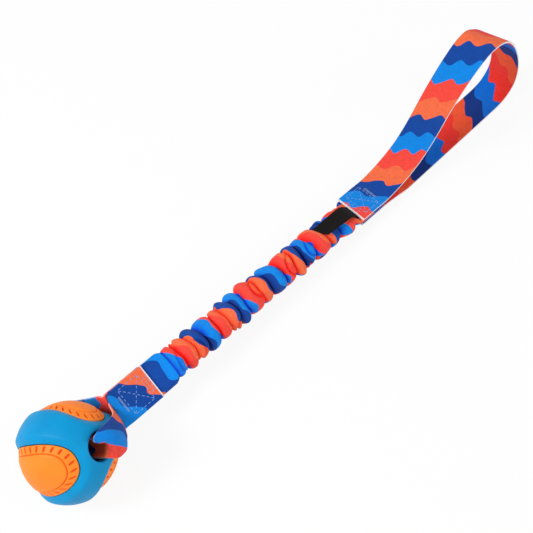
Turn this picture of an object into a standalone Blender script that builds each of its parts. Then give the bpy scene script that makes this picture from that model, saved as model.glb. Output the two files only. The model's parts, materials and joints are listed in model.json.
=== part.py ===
# Bungee tug toy: a rubber ball on a webbing strap, a gathered bungee and a hand loop.
# It lies on a table as it does after use. +X runs from the ball to the hand loop.
# The origin is on the table, under the middle of the hand loop's flat run.
# Lengths are in metres and angles in degrees.
import math

import bmesh
import bpy
from mathutils import Matrix, Vector

MM = 0.001
GAP = 0.3 * MM
SHARP_ANGLE = 40.0

# Ball
BALL_RADIUS = 32.5 * MM
BALL_CAVITY_RADIUS = 24.5 * MM
BORE_RADIUS = 9.0 * MM
BORE_AZIMUTH = -56.7
BORE_ELEVATION = 41.0
BORE_OVERRUN = 4.0 * MM
BALL_SEGMENTS = 48
BALL_RINGS = 24
CAVITY_SEGMENTS = 24
CAVITY_RINGS = 14

# Ball panels: ovals on the sphere, measured as angles at the ball's centre, with one
# exponent for how square they are
PANEL_COUNT = 3
PANEL_TURN_ANGLE = 164.9
PANEL_HALF_LENGTH_ANGLE = 60.0
PANEL_HALF_WIDTH_ANGLE = 36.0
PANEL_EXPONENT = 2.3
PANEL_RADIUS = 29.8 * MM
PANEL_THICKNESS = 3.0 * MM
PANEL_NOTCHES = 26
PANEL_SEGMENTS_PER_NOTCH = 3
NOTCH_DEPTH = 0.6 * MM
GROOVE_DEPTH = 0.5 * MM
FIELD_RISE = 0.3 * MM
SHELL_ROLL_DROP = 2.2 * MM
SHELL_ROLL_SHARE = 0.34
# Across a panel, from its middle to its edge: the raised field, a groove, the notched rim
FIELD_SHARE = 0.66
GROOVE_SHARE = 0.72
RIM_SHARE = 0.94
FACE_SHARES = (0.35, 0.66, 0.70, 0.76, 0.92, 1.0)
PLAIN_SHARES = (0.5, 1.0)

# Webbing, shared by the ball strap and the hand loop
WEBBING_WIDTH = 25.0 * MM
WEBBING_THICKNESS = 1.4 * MM

# Ball strap: it curls into a gutter in the bore, and its rear leg swings up off the table
BORE_CURL_ANGLE = 280.0
BORE_LEAN = 7.5 * MM
FRONT_SWING_ANGLE = 13.0
REAR_SWING_ANGLE = 32.0
STRAP_ROW = 3.0 * MM
STRAP_CELLS = 6
BLOCK_LEAD = 2.0 * MM
BORE_DEPTH_SHARES = (0.92, 0.6, 0.3, 0.0, -0.3, -0.6, -0.92)
# Angle from the mouth to the throat, radius over the ball's, swing about the bore, curl
FRONT_LEG_SHARES = ((0.93, 1.09, 0.0, 0.0), (0.80, 1.09, 0.5, 0.06), (0.62, 1.09, 1.0, 0.2),
                    (0.45, 1.085, 1.0, 0.38), (0.32, 1.08, 0.7, 0.6), (0.22, 1.055, 0.3, 0.85))
REAR_LEG_SHARES = ((0.135, 1.055, 1.0, 0.95), (0.21, 1.075, 1.0, 0.8), (0.30, 1.08, 0.8, 0.5),
                   (0.42, 1.065, 0.45, 0.15), (0.58, 1.06, 0.12, 0.03), (0.76, 1.07, 0.0, 0.0),
                   (0.90, 1.10, 0.0, 0.0), (0.955, 1.09, 0.0, 0.0))

# Bungee: it runs straight from the ball's centre, tipped down to the table
AXIS_DROP_ANGLE = 4.1
BALL_SEAM_ROLL_ANGLE = 27.8
BALL_THROAT = 36.5 * MM
BALL_SEAM = 66.4 * MM
HANDLE_SEAM = 258.9 * MM
HANDLE_BLOCK_LENGTH = 28.0 * MM
FLAT_SLEEVE_LENGTH = 12.0 * MM
SLEEVE_FLARE_LENGTH = 9.0 * MM
SLEEVE_FLAT_HALF_WIDTH = 12.2 * MM
SLEEVE_WALL = 0.8 * MM
SLEEVE_CREST_RADIUS = 11.3 * MM
SLEEVE_VALLEY_RADIUS = 8.7 * MM
SLEEVE_BORE_RADIUS = 6.6 * MM
SLEEVE_INSET = 3.0 * MM
FOLD_COUNT = 20
FOLD_TILT = 1.5 * MM
FOLD_SWELL = 0.5 * MM
SLEEVE_SEGMENTS = 12
FLAT_EXPONENT = 4.0
ROUND_EXPONENT = 2.0
# Each fold turns its lean and its lobes on from the last one's
FOLD_TURN_ANGLE = 137.5
FOLD_LEAN_SHARES = (0.7, 0.3)
# Along one fold, and up it
FOLD_SHARES = ((0.0, 0.0), (0.2, 0.75), (0.5, 1.0), (0.8, 0.75))
CORE_RADIUS = 4.5 * MM
TAB_HALF_WIDTH = 8.0 * MM
TAB_HALF_THICKNESS = 0.6 * MM
TAB_INSET = 3.0 * MM

# Hand loop, as it lies: its flat run on the table and the arch over it
LOOP_LENGTH = 150.7 * MM
LOOP_HEIGHT = 97.3 * MM
FLAT_RUN_START = 25.0 * MM
FLAT_RUN_END = 122.0 * MM
LOOP_ROW = 5.0 * MM
LOOP_CELLS = 2
# Shares of the loop's length and height, from the top of the throat over the arch
LOOP_ARCH_SHARES = ((0.12, 0.175), (0.205, 0.245), (0.265, 0.333), (0.318, 0.45), (0.372, 0.60),
                    (0.425, 0.735), (0.485, 0.86), (0.557, 0.962), (0.63, 1.0), (0.703, 0.967),
                    (0.776, 0.89), (0.85, 0.755), (0.916, 0.59), (0.968, 0.425), (1.0, 0.26),
                    (0.998, 0.127), (0.955, 0.035), (0.89, 0.003))
RISE_TO_THROAT_SHARE = 0.45

# Label
LABEL_LENGTH = 29.0 * MM
LABEL_WIDTH = 13.0 * MM
LABEL_THICKNESS = 0.4 * MM
LABEL_TUCK = 1.5 * MM
LABEL_EDGE_LEAD = 0.5 * MM
LABEL_OFFSET = 2.0 * MM
LABEL_STEPS = 14
# How far down the label it meets the folds, and how high it is half way there
LABEL_RISE_SHARES = ((0.12, 0.72), (0.25, 1.0), (0.6, 1.0), (1.0, 1.0))

# Thread
STITCH_PITCH = 3.0 * MM
THREAD_RADIUS = 0.25 * MM
THREAD_RISE = 0.2 * MM
STITCH_MARGIN = 3.0 * MM
BOX_SETBACK = 7.0 * MM
STITCH_ROW_SPACING = 2.5 * MM

# Derived places
FLAT_SLEEVE_HALF_THICKNESS = TAB_HALF_THICKNESS + GAP + SLEEVE_WALL
LAYER_OFFSET = FLAT_SLEEVE_HALF_THICKNESS + GAP + WEBBING_THICKNESS / 2
LABEL_LIFT = FLAT_SLEEVE_HALF_THICKNESS + GAP + LABEL_THICKNESS / 2
TOP_TAIL_OFFSET = LABEL_LIFT + LABEL_THICKNESS / 2 + GAP + WEBBING_THICKNESS / 2
HANDLE_THROAT = HANDLE_SEAM + HANDLE_BLOCK_LENGTH
REST_FROM_BALL = HANDLE_THROAT + (FLAT_RUN_START + FLAT_RUN_END) / 2
POCKET_FLOOR = PANEL_RADIUS - PANEL_THICKNESS - GAP


def direction(azimuth, elevation):
    flat = math.cos(math.radians(elevation))
    return Vector((flat * math.cos(math.radians(azimuth)),
                   flat * math.sin(math.radians(azimuth)),
                   math.sin(math.radians(elevation))))


# The ball's centre, the bungee's own axes, and the bore's axes in the plane of both
BALL_CENTRE = Vector((-REST_FROM_BALL, 0, PANEL_RADIUS + FIELD_RISE))
ALONG = direction(0, -AXIS_DROP_ANGLE)
LEVEL = Vector((0, -1, 0))
ABOVE = LEVEL.cross(ALONG)
ROLL = Matrix.Rotation(math.radians(BALL_SEAM_ROLL_ANGLE), 3, ALONG)
SEAM_ACROSS = ROLL @ LEVEL
SEAM_NORMAL = ROLL @ ABOVE
BORE = direction(BORE_AZIMUTH, BORE_ELEVATION)
LEG_SIDE = BORE.cross(ALONG).normalized()
LEG_TOWARDS = LEG_SIDE.cross(BORE).normalized()
THROAT_ANGLE = math.degrees(BORE.angle(ALONG))


def clear_scene():
    for thing in list(bpy.data.objects):
        bpy.data.objects.remove(thing, do_unlink=True)


def new_collection(name):
    group = bpy.data.collections.new(name)
    bpy.context.scene.collection.children.link(group)
    return group


def material(name, colour, roughness, metallic=0.0):
    finish = bpy.data.materials.new(name)
    finish.use_nodes = True
    shader = finish.node_tree.nodes["Principled BSDF"]
    shader.inputs["Base Color"].default_value = (*colour, 1.0)
    shader.inputs["Roughness"].default_value = roughness
    shader.inputs["Metallic"].default_value = metallic
    finish.diffuse_color = (*colour, 1.0)
    return finish


def add_object(name, mesh, group, finish=None):
    thing = bpy.data.objects.new(name, mesh)
    group.objects.link(thing)
    if finish:
        mesh.materials.append(finish)
    mesh.shade_smooth()
    mesh.set_sharp_from_angle(angle=math.radians(SHARP_ANGLE))
    return thing


def add_pivot(name, place, group, parent=None):
    # An empty on a joint's axis. Everything is placed in the world, then hung on one
    pivot = bpy.data.objects.new(name, None)
    group.objects.link(pivot)
    pivot.empty_display_size = BALL_RADIUS
    pivot.location = place
    if parent:
        hang(pivot, parent)
    return pivot


def hang(thing, pivot):
    thing.parent = pivot
    thing.matrix_parent_inverse = Matrix.Translation(-pivot.location)


def mesh_from_bmesh(name, work):
    bmesh.ops.recalc_face_normals(work, faces=work.faces)
    mesh = bpy.data.meshes.new(name)
    work.to_mesh(mesh)
    work.free()
    return mesh


def add_modifier(thing, name, kind, **values):
    modifier = thing.modifiers.new(name, kind)
    for key, value in values.items():
        setattr(modifier, key, value)
    return modifier


def add_cutter(name, mesh, group):
    cutter = add_object(name, mesh, group)
    cutter.hide_render = True
    cutter.display_type = "WIRE"
    return cutter


def cut(thing, cutter):
    add_modifier(thing, "cut_" + cutter.name, "BOOLEAN", operation="DIFFERENCE",
                 solver="EXACT", object=cutter)


# Curves that pass through their own points

def knots_of(points):
    knots = [0.0]
    for first, second in zip(points, points[1:]):
        knots.append(knots[-1] + (second - first).length)
    return knots


def track(knots, values, at):
    last = len(knots) - 1
    index = 0
    while index < last - 1 and at > knots[index + 1]:
        index += 1

    def slope(i):
        before = max(i - 1, 0)
        after = min(i + 1, last)
        return (values[after] - values[before]) / (knots[after] - knots[before])

    span = knots[index + 1] - knots[index]
    t = (at - knots[index]) / span
    return (values[index] * (2 * t ** 3 - 3 * t ** 2 + 1)
            + slope(index) * (span * (t ** 3 - 2 * t ** 2 + t))
            + values[index + 1] * (3 * t ** 2 - 2 * t ** 3)
            + slope(index + 1) * (span * (t ** 3 - t ** 2)))


def ease(low, high, value):
    t = min(max((value - low) / (high - low), 0.0), 1.0)
    return t * t * (3 - 2 * t)


# Webbing: an open strip along a route, made solid by its thickness

def webbing_rows(stations, spacing):
    points = [place for place, across, curl in stations]
    knots = knots_of(points)
    sides = [across for place, across, curl in stations]
    curls = [curl for place, across, curl in stations]
    count = max(2, round(knots[-1] / spacing))
    nudge = spacing / 10
    rows = []
    for index in range(count + 1):
        at = knots[-1] * index / count
        low = track(knots, points, max(at - nudge, 0.0))
        high = track(knots, points, min(at + nudge, knots[-1]))
        heading = (high - low).normalized()
        side = track(knots, sides, at)
        side = (side - heading * side.dot(heading)).normalized()
        rows.append((track(knots, points, at), side, heading.cross(side), track(knots, curls, at)))
    return rows


def webbing_strip(name, stations, spacing, cells, group, finish, floor=None, even=True):
    work = bmesh.new()
    grid = []
    for place, side, face, curl in webbing_rows(stations, spacing):
        row = []
        for cell in range(cells + 1):
            share = cell / cells - 0.5
            turn = math.radians(curl) * share
            if abs(curl) > 1.0:
                bend = WEBBING_WIDTH / math.radians(curl)
                spot = place + side * (bend * math.sin(turn)) + face * (bend * (1 - math.cos(turn)))
            else:
                spot = place + side * (WEBBING_WIDTH * share)
            if floor is not None:
                spot.z = max(spot.z, floor)
            row.append(work.verts.new(spot))
        grid.append(row)
    for near, far in zip(grid, grid[1:]):
        for cell in range(cells):
            work.faces.new((near[cell], near[cell + 1], far[cell + 1], far[cell]))
    mesh = mesh_from_bmesh(name, work)
    thing = add_object(name, mesh, group, finish)
    add_modifier(thing, "thickness", "SOLIDIFY", thickness=WEBBING_THICKNESS, offset=0.0,
                 use_even_offset=even, use_quality_normals=True)
    return thing


# Tubes: rings of unlike sections joined into one closed wall

def oval_ring(centre, across, up, half_width, half_height, power, segments, radial=None):
    ring = []
    for step in range(segments):
        angle = 2 * math.pi * step / segments
        c = math.cos(angle)
        s = math.sin(angle)
        width = half_width * math.copysign(abs(c) ** (2 / power), c)
        height = half_height * math.copysign(abs(s) ** (2 / power), s)
        slide, swell = radial(angle) if radial else (0.0, 1.0)
        ring.append(centre + ALONG * slide + across * (width * swell) + up * (height * swell))
    return ring


def ring_body(name, rings, closed):
    work = bmesh.new()
    loops = [[work.verts.new(spot) for spot in ring] for ring in rings]
    pairs = list(zip(loops, loops[1:]))
    if closed:
        pairs.append((loops[-1], loops[0]))
    for near, far in pairs:
        count = len(near)
        for step in range(count):
            after = (step + 1) % count
            work.faces.new((near[step], near[after], far[after], far[step]))
    if not closed:
        work.faces.new(loops[0])
        work.faces.new(loops[-1])
    return mesh_from_bmesh(name, work)


# Ball

def ball_matrix():
    level = Vector((1, 0, 0))
    first = (level - BORE * level.dot(BORE)).normalized()
    second = BORE.cross(first)
    turn = math.radians(PANEL_TURN_ANGLE)
    local_x = first * math.cos(turn) + second * math.sin(turn)
    local_y = BORE.cross(local_x)
    axes = Matrix((local_x, local_y, BORE)).transposed()
    return Matrix.Translation(BALL_CENTRE) @ axes.to_4x4()


def panel_direction(panel, share, angle):
    # A point of an oval round the panel's middle, in the ball's own axes, bore along Z
    c = math.cos(angle)
    s = math.sin(angle)
    reach = (abs(c / PANEL_HALF_LENGTH_ANGLE) ** PANEL_EXPONENT
             + abs(s / PANEL_HALF_WIDTH_ANGLE) ** PANEL_EXPONENT) ** (-1 / PANEL_EXPONENT)
    away = math.radians(reach * share)
    local = Vector((math.cos(away), math.sin(away) * s, math.sin(away) * c))
    return Matrix.Rotation(2 * math.pi * panel / PANEL_COUNT, 3, "Z") @ local


def panel_share(spot):
    # 0 at the middle of the nearest panel, 1 on its edge, more outside it
    best = None
    for panel in range(PANEL_COUNT):
        local = Matrix.Rotation(-2 * math.pi * panel / PANEL_COUNT, 3, "Z") @ spot.normalized()
        away = math.degrees(math.acos(min(max(local.x, -1.0), 1.0)))
        reach_round = math.hypot(local.y, local.z)
        if not reach_round:
            return 0.0
        c = local.z / reach_round
        s = local.y / reach_round
        reach = (abs(c / PANEL_HALF_LENGTH_ANGLE) ** PANEL_EXPONENT
                 + abs(s / PANEL_HALF_WIDTH_ANGLE) ** PANEL_EXPONENT) ** (-1 / PANEL_EXPONENT)
        share = away / reach
        best = share if best is None else min(best, share)
    return best


def make_ball_shell(parts, cutters, finish):
    work = bmesh.new()
    bmesh.ops.create_uvsphere(work, u_segments=BALL_SEGMENTS, v_segments=BALL_RINGS,
                              radius=BALL_RADIUS)
    for vert in work.verts:
        drop = SHELL_ROLL_DROP * (1 - ease(1.0, 1.0 + SHELL_ROLL_SHARE, panel_share(vert.co)))
        vert.co *= 1 - drop / BALL_RADIUS
    shell = add_object("ball_shell", mesh_from_bmesh("ball_shell", work), parts, finish)
    shell.matrix_world = ball_matrix()

    work = bmesh.new()
    bmesh.ops.create_uvsphere(work, u_segments=CAVITY_SEGMENTS, v_segments=CAVITY_RINGS,
                              radius=BALL_CAVITY_RADIUS)
    cavity = add_cutter("cavity_cutter", mesh_from_bmesh("cavity_cutter", work), cutters)
    cavity.matrix_world = ball_matrix()
    cut(shell, cavity)

    work = bmesh.new()
    bmesh.ops.create_cone(work, cap_ends=True, segments=CAVITY_SEGMENTS, radius1=BORE_RADIUS,
                          radius2=BORE_RADIUS, depth=2 * (BALL_RADIUS + BORE_OVERRUN))
    bore = add_cutter("bore_cutter", mesh_from_bmesh("bore_cutter", work), cutters)
    bore.matrix_world = ball_matrix()
    cut(shell, bore)

    for panel in range(PANEL_COUNT):
        name = "window_cutter_%d" % (panel + 1)
        mesh = panel_body(name, panel, POCKET_FLOOR, BALL_RADIUS + BORE_OVERRUN, 1.0, False)
        window = add_cutter(name, mesh, cutters)
        window.matrix_world = ball_matrix()
        cut(shell, window)
    return shell


def panel_height(share, step):
    # Height of a panel's face over its base radius: raised field, groove, notched rim
    if share <= FIELD_SHARE:
        return FIELD_RISE
    if share <= GROOVE_SHARE:
        return -GROOVE_DEPTH
    notched = step % PANEL_SEGMENTS_PER_NOTCH == 0
    if share <= RIM_SHARE:
        return -NOTCH_DEPTH if notched else 0.0
    return -GROOVE_DEPTH


def panel_body(name, panel, low, high, edge_share, detailed):
    count = PANEL_NOTCHES * PANEL_SEGMENTS_PER_NOTCH
    face_shares = FACE_SHARES if detailed else PLAIN_SHARES
    work = bmesh.new()

    def layer(shares, radius, shaped):
        middle = work.verts.new(panel_direction(panel, 0.0, 0.0) * radius)
        loops = []
        for share in shares:
            loop = []
            for step in range(count):
                angle = 2 * math.pi * step / count
                rise = panel_height(share, step) if shaped else 0.0
                spot = panel_direction(panel, share * edge_share, angle) * (radius + rise)
                loop.append(work.verts.new(spot))
            loops.append(loop)
        for step in range(count):
            after = (step + 1) % count
            work.faces.new((middle, loops[0][step], loops[0][after]))
            for near, far in zip(loops, loops[1:]):
                work.faces.new((near[step], far[step], far[after], near[after]))
        return loops[-1]

    face_edge = layer(face_shares, high, detailed)
    floor_edge = layer(PLAIN_SHARES, low, False)
    for step in range(count):
        after = (step + 1) % count
        work.faces.new((face_edge[step], floor_edge[step], floor_edge[after], face_edge[after]))
    return mesh_from_bmesh(name, work)


def make_ball_panels(parts, finish):
    edge_share = 1 - math.degrees(GAP / PANEL_RADIUS) / PANEL_HALF_WIDTH_ANGLE
    things = []
    for panel in range(PANEL_COUNT):
        name = "ball_panel_%d" % (panel + 1)
        mesh = panel_body(name, panel, PANEL_RADIUS - PANEL_THICKNESS, PANEL_RADIUS,
                          edge_share, True)
        thing = add_object(name, mesh, parts, finish)
        thing.matrix_world = ball_matrix()
        things.append(thing)
    return things


# Ball strap: top layer, front leg, bore, rear leg, bottom layer

def on_block(along, lift):
    return BALL_CENTRE + ALONG * along + SEAM_NORMAL * lift


def swung(vector, swing):
    return Matrix.Rotation(math.radians(swing), 3, BORE) @ vector


def bore_place(depth, swing):
    return BALL_CENTRE + BORE * depth + swung(LEG_TOWARDS * BORE_LEAN, swing)


def leg_stations(leg_shares, end, most_swing, side):
    # Places over the ball between one mouth of the bore and the throat
    whole = THROAT_ANGLE if end > 0 else 180 - THROAT_ANGLE
    stations = []
    for angle_share, radius_share, swing_share, curl_share in leg_shares:
        angle = math.radians(whole * angle_share)
        swing = most_swing * swing_share
        outward = BORE * (end * math.cos(angle)) + swung(LEG_TOWARDS, swing) * math.sin(angle)
        stations.append((BALL_CENTRE + outward * (BALL_RADIUS * radius_share),
                         swung(side, swing), curl_share * BORE_CURL_ANGLE))
    return stations


def ball_strap_stations():
    across = SEAM_ACROSS
    front = LEG_SIDE if LEG_SIDE.dot(across) > 0 else -LEG_SIDE
    stations = [(on_block(BALL_SEAM, LAYER_OFFSET), across, 0.0),
                (on_block(BALL_THROAT + BLOCK_LEAD, LAYER_OFFSET), across, 0.0),
                (on_block(BALL_THROAT, LAYER_OFFSET), across, 0.0)]
    stations += leg_stations(FRONT_LEG_SHARES, 1, FRONT_SWING_ANGLE, front)
    for depth_share in BORE_DEPTH_SHARES:
        swing = REAR_SWING_ANGLE * ease(-1, 1, -depth_share)
        side = swung(front, swing)
        stations.append((bore_place(depth_share * BALL_RADIUS, swing), side, BORE_CURL_ANGLE))
    stations += leg_stations(REAR_LEG_SHARES, -1, REAR_SWING_ANGLE, front)
    stations += [(on_block(BALL_THROAT, -LAYER_OFFSET), across, 0.0),
                 (on_block(BALL_THROAT + BLOCK_LEAD, -LAYER_OFFSET), across, 0.0),
                 (on_block(BALL_SEAM, -LAYER_OFFSET), across, 0.0)]
    return stations


# Bungee

def fold_radial(fold):
    phase = math.radians(FOLD_TURN_ANGLE) * fold
    once_share, twice_share = FOLD_LEAN_SHARES

    def radial(angle):
        lean = once_share * math.sin(angle + phase) + twice_share * math.sin(2 * (angle + phase))
        swell = 1 + FOLD_SWELL / SLEEVE_CREST_RADIUS * math.sin(2 * angle + phase)
        return FOLD_TILT * lean, swell
    return radial


def bungee_frame(along):
    # Centre, across and up of the bungee: its roll at the ball's seam fades to none
    roll = BALL_SEAM_ROLL_ANGLE * (1 - ease(BALL_SEAM + FLAT_SLEEVE_LENGTH, HANDLE_SEAM, along))
    turn = Matrix.Rotation(math.radians(roll), 3, ALONG)
    return BALL_CENTRE + ALONG * along, turn @ LEVEL, turn @ ABOVE


def section(along, flat, round_radius):
    # Half width, half height and squareness of a section that goes from flat to round
    half_width, half_height = flat
    start = BALL_SEAM + FLAT_SLEEVE_LENGTH
    roundness = ease(start, start + SLEEVE_FLARE_LENGTH, along)
    roundness *= 1 - ease(HANDLE_SEAM - SLEEVE_FLARE_LENGTH, HANDLE_SEAM, along)
    return (half_width + (round_radius - half_width) * roundness,
            half_height + (round_radius - half_height) * roundness,
            FLAT_EXPONENT + (ROUND_EXPONENT - FLAT_EXPONENT) * roundness)


def make_sleeve(parts, finish):
    flat_outer = (SLEEVE_FLAT_HALF_WIDTH, FLAT_SLEEVE_HALF_THICKNESS)
    flat_inner = (SLEEVE_FLAT_HALF_WIDTH - SLEEVE_WALL, FLAT_SLEEVE_HALF_THICKNESS - SLEEVE_WALL)
    low = BALL_THROAT + SLEEVE_INSET
    high = HANDLE_THROAT - SLEEVE_INSET
    gather_start = BALL_SEAM + FLAT_SLEEVE_LENGTH + SLEEVE_FLARE_LENGTH / 2
    gather_end = HANDLE_SEAM - SLEEVE_FLARE_LENGTH / 2
    pitch = (gather_end - gather_start) / FOLD_COUNT
    spots = [(low, None, 0.0), (BALL_SEAM, None, 0.0),
             (BALL_SEAM + FLAT_SLEEVE_LENGTH, None, 0.0)]
    for fold in range(FOLD_COUNT):
        for place_share, rise_share in FOLD_SHARES:
            spots.append((gather_start + pitch * (fold + place_share), fold, rise_share))
    spots += [(gather_end, None, 0.0), (HANDLE_SEAM, None, 0.0), (high, None, 0.0)]
    outer = []
    for along, fold, rise in spots:
        centre, across, up = bungee_frame(along)
        radius = SLEEVE_VALLEY_RADIUS + (SLEEVE_CREST_RADIUS - SLEEVE_VALLEY_RADIUS) * rise
        half_width, half_height, power = section(along, flat_outer, radius)
        radial = fold_radial(fold) if fold is not None else None
        outer.append(oval_ring(centre, across, up, half_width, half_height, power,
                               SLEEVE_SEGMENTS, radial))
    inner = []
    for along in bungee_knots(low, high):
        centre, across, up = bungee_frame(along)
        half_width, half_height, power = section(along, flat_inner, SLEEVE_BORE_RADIUS)
        inner.append(oval_ring(centre, across, up, half_width, half_height, power,
                               SLEEVE_SEGMENTS))
    mesh = ring_body("bungee_sleeve", outer + inner[::-1], True)
    return add_object("bungee_sleeve", mesh, parts, finish)


def bungee_knots(low, high):
    start = BALL_SEAM + FLAT_SLEEVE_LENGTH
    step = SLEEVE_FLARE_LENGTH / 3
    knots = [low, start, start + step, start + 2 * step, start + 3 * step]
    middle = (start + HANDLE_SEAM) / 2
    knots += [(knots[-1] + middle) / 2, middle, (HANDLE_SEAM + middle) / 2]
    knots += [HANDLE_SEAM - 3 * step, HANDLE_SEAM - 2 * step, HANDLE_SEAM - step, HANDLE_SEAM, high]
    return knots


def make_core(parts, finish):
    rings = []
    low = BALL_THROAT + SLEEVE_INSET + TAB_INSET
    high = HANDLE_THROAT - SLEEVE_INSET - TAB_INSET
    for along in bungee_knots(low, high):
        centre, across, up = bungee_frame(along)
        half_width, half_height, power = section(along, (TAB_HALF_WIDTH, TAB_HALF_THICKNESS),
                                                 CORE_RADIUS)
        rings.append(oval_ring(centre, across, up, half_width, half_height, power,
                               SLEEVE_SEGMENTS))
    mesh = ring_body("elastic_core", rings, False)
    return add_object("elastic_core", mesh, parts, finish)


# Hand loop

def loop_place(length_share, height_share):
    ground = WEBBING_THICKNESS / 2
    return Vector((BALL_CENTRE.x + HANDLE_THROAT + LOOP_LENGTH * length_share, 0,
                   ground + LOOP_HEIGHT * height_share))


def make_handle(parts, finish):
    across = LEVEL
    throat = HANDLE_THROAT + GAP
    top = BALL_CENTRE + ALONG * throat + ABOVE * TOP_TAIL_OFFSET
    bottom = BALL_CENTRE + ALONG * throat - ABOVE * LAYER_OFFSET
    stations = [(top, across, 0.0)]
    for length_share, height_share in LOOP_ARCH_SHARES:
        stations.append((loop_place(length_share, height_share), across, 0.0))
    ground = WEBBING_THICKNESS / 2
    for run in (FLAT_RUN_END, (FLAT_RUN_START + FLAT_RUN_END) / 2, FLAT_RUN_START):
        place = Vector((BALL_CENTRE.x + HANDLE_THROAT + run, 0, ground))
        stations.append((place, across, 0.0))
    flat_start = stations[-1][0]
    stations.append((flat_start.lerp(bottom, 1 - RISE_TO_THROAT_SHARE), across, 0.0))
    stations.append((bottom, across, 0.0))
    strap = webbing_strip("handle_strap", stations, LOOP_ROW, LOOP_CELLS, parts, finish, ground)
    seam_top = BALL_CENTRE + ALONG * HANDLE_SEAM + ABOVE * TOP_TAIL_OFFSET
    throat_top = BALL_CENTRE + ALONG * HANDLE_THROAT + ABOVE * TOP_TAIL_OFFSET
    top = webbing_strip("handle_tail_top", [(seam_top, across, 0.0), (throat_top, across, 0.0)],
                        HANDLE_BLOCK_LENGTH, LOOP_CELLS, parts, finish)
    seam_low = BALL_CENTRE + ALONG * HANDLE_SEAM - ABOVE * LAYER_OFFSET
    throat_low = BALL_CENTRE + ALONG * HANDLE_THROAT - ABOVE * LAYER_OFFSET
    low = webbing_strip("handle_tail_bottom", [(seam_low, across, 0.0), (throat_low, across, 0.0)],
                        HANDLE_BLOCK_LENGTH, LOOP_CELLS, parts, finish)
    return [strap, top, low]


# Label: it lies on the crests of the folds, and its sewn edge goes under the top tail

def make_label(parts, finish):
    rest = SLEEVE_CREST_RADIUS + FOLD_SWELL + GAP + LABEL_THICKNESS / 2
    places = [(LABEL_TUCK, LABEL_LIFT), (-LABEL_EDGE_LEAD, LABEL_LIFT)]
    places += [(-LABEL_LENGTH * length_share, rest * rise_share)
               for length_share, rise_share in LABEL_RISE_SHARES]
    points = [BALL_CENTRE + ALONG * (HANDLE_SEAM + along) + ABOVE * lift
              for along, lift in places]
    knots = knots_of(points)
    work = bmesh.new()
    grid = []
    for step in range(LABEL_STEPS + 1):
        spot = track(knots, points, knots[-1] * step / LABEL_STEPS)
        grid.append([work.verts.new(spot + LEVEL * (LABEL_OFFSET + LABEL_WIDTH * side / 2))
                     for side in (-1, 0, 1)])
    for near, far in zip(grid, grid[1:]):
        for cell in range(2):
            work.faces.new((near[cell], near[cell + 1], far[cell + 1], far[cell]))
    label = add_object("label", mesh_from_bmesh("label", work), parts, finish)
    add_modifier(label, "thickness", "SOLIDIFY", thickness=LABEL_THICKNESS, offset=0.0,
                 use_even_offset=True)
    return label


# Thread: one unbroken line of stitches on each face of a block, low at each needle hole

def thread_line(low, high, lift, across, up):
    # Two rows next to the cut edge, then round three sides of a box
    half = WEBBING_WIDTH / 2 - STITCH_MARGIN
    heading = math.copysign(1.0, high - low)
    first_row = high - heading * STITCH_MARGIN / 2
    second_row = first_row - heading * STITCH_ROW_SPACING
    box_end = low + heading * BOX_SETBACK
    corners = [(first_row, -half), (first_row, half), (second_row, half),
               (second_row, -half + STITCH_ROW_SPACING), (second_row, -half),
               (box_end, -half), (box_end, half),
               (second_row - heading * STITCH_ROW_SPACING, half)]
    spots = [BALL_CENTRE + ALONG * along + across * side + up * lift for along, side in corners]
    points = []
    for start, end in zip(spots, spots[1:]):
        count = 2 * max(1, round((end - start).length / STITCH_PITCH))
        for index in range(count):
            rise = THREAD_RISE if index % 2 else 0.0
            points.append(start.lerp(end, index / count) + up * rise)
    points.append(spots[-1])
    return points


def add_thread(name, points, parts, finish):
    curve = bpy.data.curves.new(name, "CURVE")
    curve.dimensions = "3D"
    curve.bevel_depth = THREAD_RADIUS
    curve.bevel_resolution = 0
    curve.use_fill_caps = True
    spline = curve.splines.new("POLY")
    spline.points.add(len(points) - 1)
    for point, spot in zip(spline.points, points):
        point.co = (*spot, 1.0)
    curve.materials.append(finish)
    thread = bpy.data.objects.new(name, curve)
    parts.objects.link(thread)
    return thread


def make_block_threads(block, ends, across, up, lifts, parts, finish):
    low, high = ends
    clear = WEBBING_THICKNESS / 2 + GAP + THREAD_RADIUS
    top_line = thread_line(low, high, lifts[0] + clear, across, up)
    low_line = thread_line(low, high, lifts[1] + clear, across * -1, up * -1)
    return [add_thread(block + "_needle_thread", top_line, parts, finish),
            add_thread(block + "_bobbin_thread", low_line, parts, finish)]


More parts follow.
